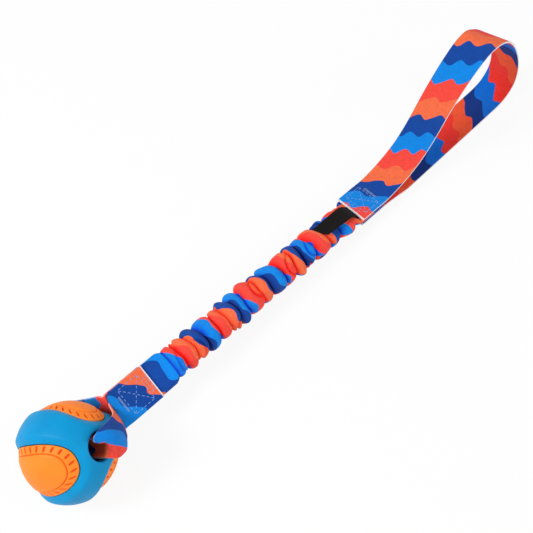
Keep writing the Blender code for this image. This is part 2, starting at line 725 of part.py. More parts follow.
def build():
    clear_scene()
    parts = new_collection("bungee_tug_toy")
    cutters = new_collection("cutters")
    blue_rubber = material("blue_rubber", (0.02, 0.33, 0.62), 0.45)
    orange_rubber = material("orange_rubber", (1.0, 0.29, 0.04), 0.5)
    print_fabric = material("print_fabric", (0.02, 0.11, 0.55), 0.75)
    sleeve_fabric = material("sleeve_fabric", (0.95, 0.09, 0.05), 0.75)
    raw_rubber = material("raw_rubber", (0.75, 0.62, 0.42), 0.55)
    black_fabric = material("black_fabric", (0.02, 0.02, 0.02), 0.7)
    pale_thread = material("pale_thread", (0.55, 0.68, 0.95), 0.6)

    flex_along = BALL_SEAM + FLAT_SLEEVE_LENGTH / 2
    throat = BALL_CENTRE + ALONG * HANDLE_THROAT
    label_edge = BALL_CENTRE + ALONG * HANDLE_SEAM + LEVEL * LABEL_OFFSET + ABOVE * LABEL_LIFT
    ball_end_flex = add_pivot("ball_end_flex", BALL_CENTRE + ALONG * flex_along, parts)
    ball_spin = add_pivot("ball_spin", BALL_CENTRE, parts, ball_end_flex)
    bungee_stretch = add_pivot("bungee_stretch", BALL_CENTRE + ALONG * HANDLE_SEAM, parts)
    handle_flex = add_pivot("handle_flex", throat, parts, bungee_stretch)
    label_flap = add_pivot("label_flap", label_edge, parts, bungee_stretch)

    ball = [make_ball_shell(parts, cutters, blue_rubber)]
    ball += make_ball_panels(parts, orange_rubber)
    ball_end = [webbing_strip("ball_strap", ball_strap_stations(), STRAP_ROW, STRAP_CELLS, parts,
                              print_fabric, floor=WEBBING_THICKNESS / 2, even=False)]
    make_sleeve(parts, sleeve_fabric)
    make_core(parts, raw_rubber)
    loop, *handle_end = make_handle(parts, print_fabric)
    label = make_label(parts, black_fabric)
    ball_end += make_block_threads("ball_end", (BALL_THROAT, BALL_SEAM), SEAM_ACROSS, SEAM_NORMAL,
                                   (LAYER_OFFSET, LAYER_OFFSET), parts, pale_thread)
    handle_end += make_block_threads("handle_end", (HANDLE_THROAT, HANDLE_SEAM), LEVEL, ABOVE,
                                     (TOP_TAIL_OFFSET, LAYER_OFFSET), parts, pale_thread)
    for pivot, things in ((ball_spin, ball), (ball_end_flex, ball_end), (handle_flex, [loop]),
                          (bungee_stretch, handle_end), (label_flap, [label])):
        for thing in things:
            hang(thing, pivot)


build()
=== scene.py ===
# Bungee tug toy: a rubber ball, a printed webbing strap, a gathered bungee and a hand loop.
# The looks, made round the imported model. The toy's own dictionaries are in millimetres and degrees.
import json
import math
import random

import bpy
import numpy as np
from mathutils import Matrix, Vector


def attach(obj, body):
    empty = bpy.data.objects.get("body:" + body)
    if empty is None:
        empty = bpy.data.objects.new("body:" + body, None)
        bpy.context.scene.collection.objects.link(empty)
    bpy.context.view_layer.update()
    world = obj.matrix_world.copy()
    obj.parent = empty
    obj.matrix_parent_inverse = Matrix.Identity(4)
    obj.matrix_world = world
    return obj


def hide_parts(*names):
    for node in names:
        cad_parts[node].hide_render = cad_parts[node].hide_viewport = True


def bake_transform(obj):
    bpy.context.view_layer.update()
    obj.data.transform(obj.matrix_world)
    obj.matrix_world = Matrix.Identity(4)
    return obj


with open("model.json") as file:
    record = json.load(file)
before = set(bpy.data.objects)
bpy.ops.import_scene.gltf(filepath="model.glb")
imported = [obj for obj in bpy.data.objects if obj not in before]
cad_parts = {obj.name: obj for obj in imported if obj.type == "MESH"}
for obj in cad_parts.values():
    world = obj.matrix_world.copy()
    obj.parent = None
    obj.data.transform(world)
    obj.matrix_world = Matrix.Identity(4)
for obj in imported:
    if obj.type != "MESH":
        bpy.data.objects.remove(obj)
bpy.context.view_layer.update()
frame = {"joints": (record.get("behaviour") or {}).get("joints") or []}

mm = 0.001
fullTurn = 2 * math.pi
scene = bpy.context.scene


def unit(vectors):
    return vectors / np.linalg.norm(vectors, axis=-1, keepdims=True)


def easeIn(low, high, value):
    t = np.clip((value - low) / (high - low), 0.0, 1.0)
    return t * t * (3 - 2 * t)


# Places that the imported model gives

joints = {joint["name"]: joint for joint in frame["joints"]}
ballCentre = np.array(joints["ball_spin"]["pos_m"])
boreAxis = unit(np.array(joints["ball_spin"]["axis"]))
alongAxis = unit(np.array(joints["bungee_stretch"]["axis"]))
levelAxis = np.array((0.0, -1.0, 0.0))
aboveAxis = np.cross(levelAxis, alongAxis)
seamAcross = unit(np.array(joints["ball_end_flex"]["axis"]))
seamNormal = np.cross(seamAcross, alongAxis)

bungee = {            # distances along the bungee from the ball's centre
    "ballThroat": 36.5,
    "ballSeam": 66.4,
    "handleSeam": 258.9,
    "handleThroat": float((np.array(joints["handle_flex"]["pos_m"]) - ballCentre) @ alongAxis) / mm,
    "flatSleeve": 12.0,      # flat part past the ball's seam
    "flare": 9.0,            # from flat to round
    "lateFlare": 0.8,        # share of that at the hand loop's end
    "seamRoll": math.degrees(math.acos(min(1.0, float(seamAcross @ levelAxis)))),
    "layer": 2.7,            # middle of a webbing layer above or below the axis
    "topTail": 3.4,          # the same where the label is under it
}
webbing = {
    "width": 25.0, "thickness": 1.4, "edgeRound": 0.25, "columns": 27, "columnReach": 0.97,
    "endRows": (0.4, 1.05, 1.25), "endClear": 1.6,      # rows next to a cut end, and where the others begin
    "cutPale": 0.8, "edgeSoft": 0.6,
}
halfWebbing = webbing["width"] / 2
onTable = webbing["thickness"] / 2          # height of a strip's middle where it lies on the table


def alongPlace(along):
    return ballCentre + alongAxis * (along * mm)


# Curves through points, and meshes from rings of points

def distancesOf(points):
    steps = np.linalg.norm(np.diff(points, axis=0), axis=1)
    return np.concatenate(([0.0], np.cumsum(steps)))


def smoothTrack(knots, values, at):
    # a curve that passes through its own values at uneven knots
    values = np.array(values, float).reshape(len(knots), -1)
    at = np.clip(at, knots[0], knots[-1])
    index = np.clip(np.searchsorted(knots, at, side="right") - 1, 0, len(knots) - 2)
    slopes = np.empty_like(values)
    slopes[1:-1] = (values[2:] - values[:-2]) / (knots[2:] - knots[:-2])[:, None]
    slopes[0] = (values[1] - values[0]) / (knots[1] - knots[0])
    slopes[-1] = (values[-1] - values[-2]) / (knots[-1] - knots[-2])
    span = (knots[index + 1] - knots[index])[:, None]
    t = (at - knots[index])[:, None] / span
    return (values[index] * (2 * t ** 3 - 3 * t ** 2 + 1)
            + slopes[index] * span * (t ** 3 - 2 * t ** 2 + t)
            + values[index + 1] * (3 * t ** 2 - 2 * t ** 3)
            + slopes[index + 1] * span * (t ** 3 - t ** 2))


def wavesOf(angle, waves, phases):
    # each wave is how often it goes up round the ring, and its height
    return sum(high * np.sin(times * angle + phase) for (times, high), phase in zip(waves, phases))


def newPiece(name, points, faces, material, attributes, sharp=None):
    # points in metres, and the values on them that the material reads
    mesh = bpy.data.meshes.new(name)
    mesh.from_pydata(points.tolist(), [], faces)
    for key, values in attributes.items():
        values = np.array(values, np.float32).reshape(len(points), -1)
        kind, field = ("FLOAT_VECTOR", "vector") if values.shape[1] == 3 else ("FLOAT", "value")
        mesh.attributes.new(key, kind, "POINT").data.foreach_set(field, values.ravel())
    mesh.shade_smooth()
    if sharp:
        mesh.set_sharp_from_angle(angle=math.radians(sharp))
    mesh.materials.append(material)
    piece = bpy.data.objects.new(name, mesh)
    scene.collection.objects.link(piece)
    return piece


def ringFaces(rows, columns, loopRows):
    row, column = np.meshgrid(np.arange(rows if loopRows else rows - 1), np.arange(columns), indexing="ij")
    nextRow, nextColumn = (row + 1) % rows, (column + 1) % columns
    return np.stack((row * columns + column, row * columns + nextColumn, nextRow * columns + nextColumn,
                     nextRow * columns + column), axis=-1).reshape(-1, 4)


def ringPiece(name, grid, material, attributes, sharp, caps=None, loopRows=False):
    # grid is rings x points x 3. The first and the last ring close on a point, or the rings form a loop
    rows, columns = grid.shape[:2]
    points = grid.reshape(-1, 3)
    faces = ringFaces(rows, columns, loopRows).tolist()
    attributes = {key: np.reshape(values, (len(points), -1)) for key, values in attributes.items()}
    if not loopRows:
        if caps is None:
            caps = (grid[0].mean(axis=0), grid[-1].mean(axis=0))
        tip = len(points)
        last = tip - columns
        pairs = [(step, (step + 1) % columns) for step in range(columns)]
        faces += [[following, step, tip] for step, following in pairs]
        faces += [[last + step, last + following, tip + 1] for step, following in pairs]
        points = np.concatenate((points, caps))
        attributes = {key: np.concatenate((values, values[[0, last]])) for key, values in attributes.items()}
    return newPiece(name, points, faces, material, attributes, sharp)


def clothPlaces(run, across, weave):
    # where the print, the width and the weave stand at each point
    return np.stack(np.broadcast_arrays(run, across, weave), axis=-1)


# Materials

class Nodes:
    # short words for the nodes and links of a material or a world
    def __init__(self, owner):
        self.owner = owner
        owner.use_nodes = True
        self.tree = owner.node_tree

    def add(self, kind, **values):
        node = self.tree.nodes.new(kind)
        for key, value in values.items():
            setattr(node, key, value)
        return node

    def link(self, source, target):
        self.tree.links.new(source, target)

    def put(self, value, target):
        if hasattr(value, "is_output"):
            self.link(value, target)
        else:
            target.default_value = value

    def sum(self, operation, first, second=0.0, third=None):
        node = self.add("ShaderNodeMath", operation=operation)
        self.put(first, node.inputs[0])
        self.put(second, node.inputs[1])
        if third is not None:
            self.put(third, node.inputs[2])
        return node.outputs[0]

    def wave(self, source, length):
        return self.sum("SINE", self.sum("MULTIPLY", source, fullTurn / length))

    def mix(self, share, first, second, blend="MIX"):
        node = self.add("ShaderNodeMix", data_type="RGBA", blend_type=blend)
        self.put(share, node.inputs[0])
        self.put(first, node.inputs[6])
        self.put(second, node.inputs[7])
        return node.outputs[2]

    def noise(self, scale, detail=2.0):
        node = self.add("ShaderNodeTexNoise")
        node.inputs["Scale"].default_value = scale
        node.inputs["Detail"].default_value = detail
        self.link(self.add("ShaderNodeTexCoord").outputs["Object"], node.inputs["Vector"])
        return node.outputs["Fac"]

    def span(self, value, low, high, toLow, toHigh):
        node = self.add("ShaderNodeMapRange")
        self.put(value, node.inputs["Value"])
        for key, number in (("From Min", low), ("From Max", high), ("To Min", toLow), ("To Max", toHigh)):
            node.inputs[key].default_value = number
        return node.outputs["Result"]

    def spread(self, noise, ends):
        # most of a noise lies from 0.3 to 0.7, and that part is spread between the two ends
        return self.span(noise, 0.3, 0.7, *ends)

    def bump(self, height, distance, strength=1.0, under=None):
        node = self.add("ShaderNodeBump")
        node.inputs["Strength"].default_value = strength
        node.inputs["Distance"].default_value = distance * mm
        self.link(height, node.inputs["Height"])
        if under is not None:
            self.link(under, node.inputs["Normal"])
        return node.outputs["Normal"]

    def value(self, attribute):
        return self.add("ShaderNodeAttribute", attribute_name=attribute).outputs["Fac"]

    def vector(self, attribute):
        node = self.add("ShaderNodeSeparateXYZ")
        source = self.add("ShaderNodeAttribute", attribute_name=attribute)
        self.link(source.outputs["Vector"], node.inputs[0])
        return node.outputs

    def finish(self, colour, normal, roughness, **sockets):
        shader = self.tree.nodes["Principled BSDF"]
        self.put(colour, shader.inputs["Base Color"])
        self.link(normal, shader.inputs["Normal"])
        self.put(roughness, shader.inputs["Roughness"])
        for key, value in sockets.items():
            shader.inputs[key.replace("_", " ")].default_value = value
        return self.owner


def newMaterial(name):
    return Nodes(bpy.data.materials.new(name))


def tone(code):
    # a colour as written in a paint shop, such as 2FA5DA, as linear light
    parts = [int(code[i:i + 2], 16) / 255 for i in (0, 2, 4)]
    return tuple(p / 12.92 if p <= 0.04045 else ((p + 0.055) / 1.055) ** 2.4 for p in parts) + (1.0,)


printTones = {"bands": ("FF4E42", "0C8CEC", "124AA4", "FF7449"), "core": "F6F4F8"}
printSize = {
    "band": 15.1, "skew": -0.63, "waveLong": 13.5, "waveHigh": 2.1, "smallLong": 7.3, "smallHigh": 0.22,
    "driftBands": 5.3, "driftTurn": 1.9, "smallLean": 0.21,       # the waves change slowly along the cloth
}
clothLook = {
    "yarnShade": 0.05, "cloudScale": 420.0, "cloudShade": (0.9, 1.06), "rough": (0.74, 0.9),
    "fuzzScale": 900.0, "fuzzDeep": 0.12,
}


def printedCloth(name, weaveAcross, weaveAlong, weaveDeep, sheen):
    # wavy bands in four colours over a woven cloth. cloth holds print distance, across and weave distance
    n = newMaterial(name)
    run, across, weave = n.vector("cloth")
    size, look = printSize, clothLook
    drift = n.wave(run, size["driftBands"] * size["band"])
    turn = n.sum("MULTIPLY_ADD", across, fullTurn / size["waveLong"],
                 n.sum("MULTIPLY", drift, size["driftTurn"]))
    wave = n.sum("MULTIPLY", n.sum("SINE", turn), size["waveHigh"])
    fine = n.sum("MULTIPLY_ADD", across, fullTurn / size["smallLong"],
                 n.sum("MULTIPLY", run, size["smallLean"]))
    wave = n.sum("MULTIPLY_ADD", n.sum("SINE", fine), size["smallHigh"], wave)
    place = n.sum("ADD", n.sum("MULTIPLY_ADD", across, size["skew"], run), wave)
    bands = printTones["bands"]
    ramp = n.add("ShaderNodeValToRGB")
    ramp.color_ramp.interpolation = "CONSTANT"
    steps = ramp.color_ramp.elements
    steps[1].position = 1 / len(bands)
    for index in range(2, len(bands)):
        steps.new(index / len(bands))
    for step, code in zip(steps, bands):
        step.color = tone(code)
    n.link(n.sum("FRACT", n.sum("DIVIDE", place, len(bands) * size["band"])), ramp.inputs["Fac"])
    # the weave: yarns over and under, and their slightly paler crowns
    yarn = n.sum("MULTIPLY", n.wave(across, weaveAcross), n.wave(weave, weaveAlong))
    cloudy = n.noise(look["cloudScale"], 3.0)
    shade = n.sum("MULTIPLY_ADD", yarn, look["yarnShade"], n.spread(cloudy, look["cloudShade"]))
    # painted shade: the print's colour is squared, darker and fuller, where a fold goes in and on the hand
    # loop's inner face
    deep = n.mix(1.0, ramp.outputs["Color"], ramp.outputs["Color"], "MULTIPLY")
    colour = n.mix(n.value("fold"), ramp.outputs["Color"], deep)
    colour = n.mix(1.0, colour, shade, "MULTIPLY")
    colour = n.mix(n.value("pale"), colour, tone(printTones["core"]))
    normal = n.bump(n.noise(look["fuzzScale"]), look["fuzzDeep"], 0.5, n.bump(yarn, weaveDeep))
    return n.finish(colour, normal, n.spread(cloudy, look["rough"]), Sheen_Weight=sheen,
                    Sheen_Roughness=0.45, Specular_IOR_Level=0.14)


rubberLook = {
    "cloudScale": 90.0, "cloudShare": 0.16, "grainScale": 2600.0, "grainDeep": 0.02,
    "dimpleScale": 260.0, "dimpleDeep": 0.05, "rough": (0.42, 0.56),
}


def rubber(name, colour, dark):
    # moulded rubber: a faint grain, soft gloss, and painted shade deep in its notches, grooves and recesses
    n = newMaterial(name)
    look = rubberLook
    cloudy = n.noise(look["cloudScale"], 4.0)
    base = n.mix(n.span(cloudy, 0.35, 0.7, 0.0, look["cloudShare"]), tone(colour), tone(dark))
    # painted shade: the depth attribute mixes towards the dark tone
    base = n.mix(n.value("depth"), base, tone(dark))
    fine = n.noise(look["grainScale"], 3.0)
    normal = n.bump(fine, look["grainDeep"], 0.6)
    normal = n.bump(n.noise(look["dimpleScale"]), look["dimpleDeep"], 0.4, normal)
    return n.finish(base, normal, n.spread(fine, look["rough"]), Specular_IOR_Level=0.15)


tapeLook = {
    "twill": 0.55, "twillShare": 0.6, "rib": 0.32, "ribShare": 0.4, "deep": 0.05,
    "tones": ("080706", "171413", "1E1B1A"), "cloudScale": 300.0, "wornShare": 0.4, "rough": (0.6, 0.74),
}


def satinTape():
    n = newMaterial("blackSatinTape")
    look = tapeLook
    _, across, weave = n.vector("cloth")
    low, high, worn = map(tone, look["tones"])
    rib = n.sum("MULTIPLY", n.wave(weave, look["rib"]), look["ribShare"])
    twill = n.wave(n.sum("ADD", across, weave), look["twill"])
    height = n.sum("MULTIPLY_ADD", twill, look["twillShare"], rib)
    cloudy = n.noise(look["cloudScale"], 3.0)
    colour = n.mix(n.span(height, -1.0, 1.0, 0.0, 1.0), low, high)
    colour = n.mix(n.span(cloudy, 0.45, 0.8, 0.0, look["wornShare"]), colour, worn)
    return n.finish(colour, n.bump(height, look["deep"]), n.spread(cloudy, look["rough"]),
                    Specular_IOR_Level=0.1)


threadLook = {"twist": 0.45, "deep": 0.05, "tones": ("4B84DA", "A6C4F2"), "rough": (0.6, 0.45)}


def sewingThread():
    n = newMaterial("paleThread")
    look = threadLook
    run, across, _ = n.vector("cloth")
    twist = n.wave(n.sum("ADD", run, across), look["twist"])
    colour = n.mix(n.span(twist, -1.0, 1.0, 0.0, 1.0), *map(tone, look["tones"]))
    return n.finish(colour, n.bump(twist, look["deep"]), n.span(twist, -1.0, 1.0, *look["rough"]),
                    Sheen_Weight=0.2)


latexLook = {
    "rings": 1.3, "ringDeep": 0.06, "pitDeep": 0.1, "cloudScale": 240.0,
    "tones": ("C59A5B", "E3C48E"), "rough": (0.38, 0.55),
}


def latexCord():
    # raw latex: amber, cloudy, with fine rings from its mould
    n = newMaterial("latexCord")
    look = latexLook
    rings = n.wave(n.vector("cloth")[0], look["rings"])
    cloudy = n.noise(look["cloudScale"], 4.0)
    colour = n.mix(n.spread(cloudy, (0.0, 1.0)), *map(tone, look["tones"]))
    normal = n.bump(rings, look["ringDeep"], 0.6, n.bump(cloudy, look["pitDeep"]))
    return n.finish(colour, normal, n.spread(cloudy, look["rough"]), Specular_IOR_Level=0.45)


# the third colour is the darker tone, for random clouds and for painted shade
blueRubber = rubber("blueRubber", "0091CA", "00659A")
orangeRubber = rubber("orangeRubber", "FF8A2A", "F0531A")
# yarns across and along, how deep the weave is, and its sheen
printedWebbing = printedCloth("printedWebbing", 1.1, 0.8, 0.14, 0.04)
printedSleeve = printedCloth("printedSleeve", 0.7, 0.7, 0.06, 0.06)
blackSatinTape = satinTape()
paleThread = sewingThread()
rawLatex = latexCord()
print("materials made")

# Ball: shell, window panels

ball = {
    "radius": 32.5, "cavity": 24.5, "bore": 9.0, "mouthRound": 1.3,
    "lipIn": 1.15, "lipOut": 0.25,                              # shares of the mouth's rounding
    "rollDrop": 2.6, "rollReach": 4.9, "rollSoft": 0.09,        # the slanted band round its windows
    # the shell's floor under each window and the share of painted shade on it, then the mesh's rows
    "windowFloor": 26.5, "windowPaintedShade": 0.9, "columns": 360, "rows": 168, "cavityRows": 40, "lipSteps": 8,
}
panel = {
    "count": 3, "turn": 164.9, "halfLength": 60.0, "halfWidth": 36.0, "squareness": 2.3,
    "radius": 29.8, "edgeGap": 0.35, "field": 0.3, "groove": 0.6,
    "rimLeast": 3.4, "rimShare": 0.16,        # the notched rim is wider at the oval's two ends
    "notches": 26, "notchLong": 4.0, "notchWide": 1.8, "notchDeep": 1.1, "notchSlant": 22.0,
    # the last is a power for the painted shade deep in each notch
    "notchMiddle": 0.44, "notchSoft": 1.15, "notchPower": 2.2, "notchShadePower": 0.7,
    # points round the oval at each notch, in mm from its middle, and how many lie between two notches
    "steps": (-1.0, -0.82, -0.66, -0.5, -0.34, -0.17, 0.0, 0.17, 0.34, 0.5, 0.66, 0.82, 1.0), "plainSteps": 5,
    "farOff": 9.0, "edge": 0.62, "rimRows": 30, "rimSpan": (0.03, 0.80), "fieldRows": 15,
    # the rows shift round the oval with the notches' slant
    "edgeShift": -2.0, "rimShift": 5.5, "stillShare": 0.4, "fieldShift": 2.2,
    # painted shade in the gap at the outer edge and in the groove round the field
    "edgePaintedShade": 0.25, "groovePaintedShade": 0.7,
    # the rounded outer edge: how far in, and how high
    "edgeRows": ((0.0, -1.5), (0.06, -0.95), (0.18, -0.5), (0.36, -0.2), (0.62, -0.03)),
    # shares of the rim, and depth or rise as a share of the groove or the field
    "grooveRows": ((0.83, -0.25), (0.86, -0.75), (0.89, -1.0), (0.915, -0.8), (0.94, -0.15), (0.965, 0.6),
                   (1.0, 1.0)),
    # the side wall and the underside: radius and share of painted shade
    "wallRows": ((26.9, 0.9), (27.4, 0.8), (28.0, 0.6)),
}
ballLevel = np.array((1.0, 0.0, 0.0))
firstAxis = unit(ballLevel - boreAxis * (ballLevel @ boreAxis))
secondAxis = np.cross(boreAxis, firstAxis)
panelTurn = math.radians(panel["turn"])
ballX = firstAxis * math.cos(panelTurn) + secondAxis * math.sin(panelTurn)
ballAxes = np.stack((ballX, np.cross(boreAxis, ballX), boreAxis))


def ballToWorld(local):
    return ballCentre + local @ ballAxes * mm


def ovalReach(c, s):
    # degrees from the oval's middle to its edge
    power = panel["squareness"]
    inverse = np.abs(c / panel["halfLength"]) ** power + np.abs(s / panel["halfWidth"]) ** power
    return inverse ** (-1 / power)


def windowShare(directions, inGap=False):
    # 0 in the middle of the nearest window, 1 on its edge; or the gap to that edge in degrees
    best = np.full(directions.shape[:-1], 90.0)
    for index in range(panel["count"]):
        turn = fullTurn * index / panel["count"]
        x = directions[..., 0] * math.cos(turn) + directions[..., 1] * math.sin(turn)
        y = -directions[..., 0] * math.sin(turn) + directions[..., 1] * math.cos(turn)
        z = directions[..., 2]
        flat = np.maximum(np.hypot(y, z), 1e-9)
        away = np.degrees(np.arccos(np.clip(x, -1, 1)))
        reach = ovalReach(z / flat, y / flat)
        best = np.minimum(best, away - reach if inGap else away / reach)
    return best


def directionOf(tilt, heading):
    return np.stack((np.sin(tilt) * np.cos(heading), np.sin(tilt) * np.sin(heading), np.cos(tilt)), axis=-1)


def ballDirections():
    # even rings of points, of which those near a window's edge slide onto it, so that it is a clean line
    rows, columns = ball["rows"], ball["columns"]
    start = math.asin((ball["bore"] + ball["mouthRound"]) / ball["radius"])
    tilt, heading = np.meshgrid(np.linspace(start, math.pi - start, rows),
                                np.linspace(0, fullTurn, columns, endpoint=False), indexing="ij")
    share = windowShare(directionOf(tilt, heading))
    onEdge = np.zeros(share.shape, bool)
    for axis in (0, 1):
        far = np.roll(share, -1, axis)
        crossing = (share < 1) != (far < 1)
        if axis == 0:
            crossing[-1, :] = False
        nearer = np.abs(share - 1) <= np.abs(far - 1)
        onEdge |= crossing & nearer
        onEdge |= np.roll(crossing & ~nearer, 1, axis)
    small = 1e-4
    tiltStep, headingStep = math.pi / rows, fullTurn / columns
    for sweep in range(4):
        now = windowShare(directionOf(tilt, heading))
        tiltSlope = (windowShare(directionOf(tilt + small, heading)) - now) / small
        headingSlope = (windowShare(directionOf(tilt, heading + small)) - now) / small
        length = (tiltSlope * tiltStep) ** 2 + (headingSlope * headingStep) ** 2
        move = np.where(onEdge, (1 - now) / np.maximum(length, 1e-9), 0.0)
        tilt += move * tiltSlope * tiltStep ** 2
        heading += move * headingSlope * headingStep ** 2
    directions = directionOf(tilt, heading)
    return directions, np.where(onEdge, 1.0, windowShare(directions)), onEdge


def mouthLip(edge, heading, sign):
    # a round lip from the ball's outer face into the bore
    corner, ends = (np.column_stack((heading * ball["bore"], edge[:, 2] + sign * share * ball["mouthRound"]))
                    for share in (ball["lipOut"], -ball["lipIn"]))
    return [edge * (1 - t) ** 2 + corner * 2 * t * (1 - t) + ends * t * t
            for t in np.linspace(0, 1, ball["lipSteps"])[1:]]


def makeBallShell():
    directions, share, onEdge = ballDirections()
    # a slanted band runs round each window, up to a soft ridge
    roll = 1 - np.radians(windowShare(directions, True)) * ball["radius"] / ball["rollReach"]
    roll = (roll + np.sqrt(roll ** 2 + ball["rollSoft"] ** 2)) / 2
    height = ball["radius"] - ball["rollDrop"] * np.minimum(roll, 1.0)
    outer = directions * np.where(share < 1, ball["windowFloor"], height)[..., None]
    headings = [edge[:, :2] / np.hypot(edge[:, 0], edge[:, 1])[:, None] for edge in (outer[0], outer[-1])]
    front = mouthLip(outer[0], headings[0], 1)
    back = mouthLip(outer[-1], headings[1], -1)
    boreAngle = math.asin(ball["bore"] / ball["cavity"])
    cavity = [np.column_stack((headings[0] * ball["cavity"] * math.sin(angle),
                               np.full(ball["columns"], ball["cavity"] * math.cos(angle))))
              for angle in np.linspace(math.pi - boreAngle, boreAngle, ball["cavityRows"])]
    grid = np.array(front[::-1] + list(outer) + back + cavity)
    outerRows = slice(len(front), len(front) + ball["rows"])
    edgeFlag, inWindow = np.zeros((2, len(grid), ball["columns"]), bool)
    edgeFlag[outerRows] = onEdge
    inWindow[outerRows] = share < 1
    # quads, but across a window's edge they split along it
    corners = ringFaces(len(grid), ball["columns"], True)
    flag, within = edgeFlag.ravel()[corners], inWindow.ravel()[corners]
    splitA = flag[:, 0] & flag[:, 2] & (within[:, 1] | within[:, 3])
    splitB = flag[:, 1] & flag[:, 3] & (within[:, 0] | within[:, 2]) & ~splitA
    faces = corners[~splitA & ~splitB].tolist()
    for a, b, c, d in corners[splitA].tolist():
        faces += [[a, b, c], [a, c, d]]
    for a, b, c, d in corners[splitB].tolist():
        faces += [[a, b, d], [b, c, d]]
    # painted shade on the shell's floor under the panels
    depth = inWindow * ball["windowPaintedShade"]
    return newPiece("ballShell", ballToWorld(grid.reshape(-1, 3)), faces, blueRubber, {"depth": depth}, 50)


def makeBallPanel(index):
    size = panel
    degree = size["radius"] * math.pi / 180
    # even steps round the oval, closer at each notch
    trial = np.linspace(0, fullTurn, 4001)
    rim = ovalReach(np.cos(trial), np.sin(trial)) * degree
    around = distancesOf(np.column_stack((rim * np.cos(trial), rim * np.sin(trial))))
    pitch = around[-1] / size["notches"]
    plain = np.linspace(size["steps"][-1], pitch - size["steps"][-1], size["plainSteps"] + 2)[1:-1]
    offsets = np.concatenate((size["steps"], plain))
    places = np.concatenate([k * pitch + offsets for k in range(size["notches"])])
    off = np.tile(np.where(offsets > 1, size["farOff"], offsets), size["notches"])
    slant = math.tan(math.radians(size["notchSlant"]))
    # dark holds the share of painted shade at each point
    rows, dark = [], []

    def angleAt(shift):
        return np.interp((places + slant * shift) % around[-1], around, trial)

    def notchAt(inward, rimWide):
        half = size["notchWide"] / 2
        middle = size["notchMiddle"] * rimWide
        along = np.maximum(0.0, np.abs(inward - middle) - (size["notchLong"] / 2 - half))
        apart = np.hypot(off, along)
        return np.clip(1 - (apart / (half * size["notchSoft"])) ** size["notchPower"], 0, 1)

    def addRow(shift, inwardOf, rise, shade, notched=False):
        angle = angleAt(shift)
        c, s = np.cos(angle), np.sin(angle)
        reach = ovalReach(c, s)
        rimWide = size["rimLeast"] + size["rimShare"] * reach * degree
        inward = inwardOf(rimWide)
        if notched:
            notch = notchAt(inward, rimWide)
            # painted shade deep in each notch
            rise, shade = -size["notchDeep"] * notch, notch ** size["notchShadePower"]
        away = np.radians(reach - (inward + size["edgeGap"]) / degree)
        local = np.column_stack((np.cos(away), np.sin(away) * s, np.sin(away) * c))
        rows.append(local * (size["radius"] + rise + np.zeros(len(places)))[:, None])
        dark.append(shade + np.zeros(len(places)))

    def acrossRim(share):
        return lambda rimWide: size["edge"] + (rimWide - size["edge"]) * share

    # painted shade where the outer edge goes down into the gap
    for inward, rise in size["edgeRows"]:
        addRow(size["edgeShift"], lambda rimWide: inward, rise, size["edgePaintedShade"] if rise < -0.9 else 0.0)
    for share in np.linspace(*size["rimSpan"], size["rimRows"]):
        addRow((share - size["stillShare"]) * size["rimShift"], acrossRim(share), 0.0, 0.0, notched=True)
    # painted shade in the groove, by its depth
    for share, rise in size["grooveRows"]:
        addRow(size["fieldShift"], acrossRim(share), rise * (size["groove"] if rise < 0 else size["field"]),
               size["groovePaintedShade"] * max(0.0, -rise))
    fieldAngle = angleAt(size["fieldShift"])
    fieldReach = ovalReach(np.cos(fieldAngle), np.sin(fieldAngle)) * degree
    for t in np.arange(1, size["fieldRows"]) / size["fieldRows"]:
        addRow(size["fieldShift"], lambda rimWide: rimWide + (fieldReach - rimWide) * t, size["field"], 0.0)
    wall = unit(rows[0])
    rows = [wall * radius for radius, shade in size["wallRows"]] + rows
    # painted shade on the side wall and the underside
    dark = [np.full(len(places), shade) for radius, shade in size["wallRows"]] + dark
    turn = fullTurn * index / size["count"]
    c, s = math.cos(turn), math.sin(turn)
    turning = np.array(((c, s, 0), (-s, c, 0), (0, 0, 1)))
    caps = [ballToWorld(np.array((radius, 0, 0)) @ turning)
            for radius in (size["wallRows"][0][0], size["radius"] + size["field"])]
    return ringPiece("ballPanel%d" % (index + 1), ballToWorld(np.array(rows) @ turning), orangeRubber,
                     {"depth": np.array(dark)}, 60, caps)


ballPieces = [makeBallShell()] + [makeBallPanel(index) for index in range(panel["count"])]
for piece in ballPieces:
    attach(piece, "ball")
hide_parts("ball_shell")
for index in range(panel["count"]):
    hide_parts("ball_panel_%d" % (index + 1))
print("ball made")

# Webbing: a flat woven strip with round edges, made along a route

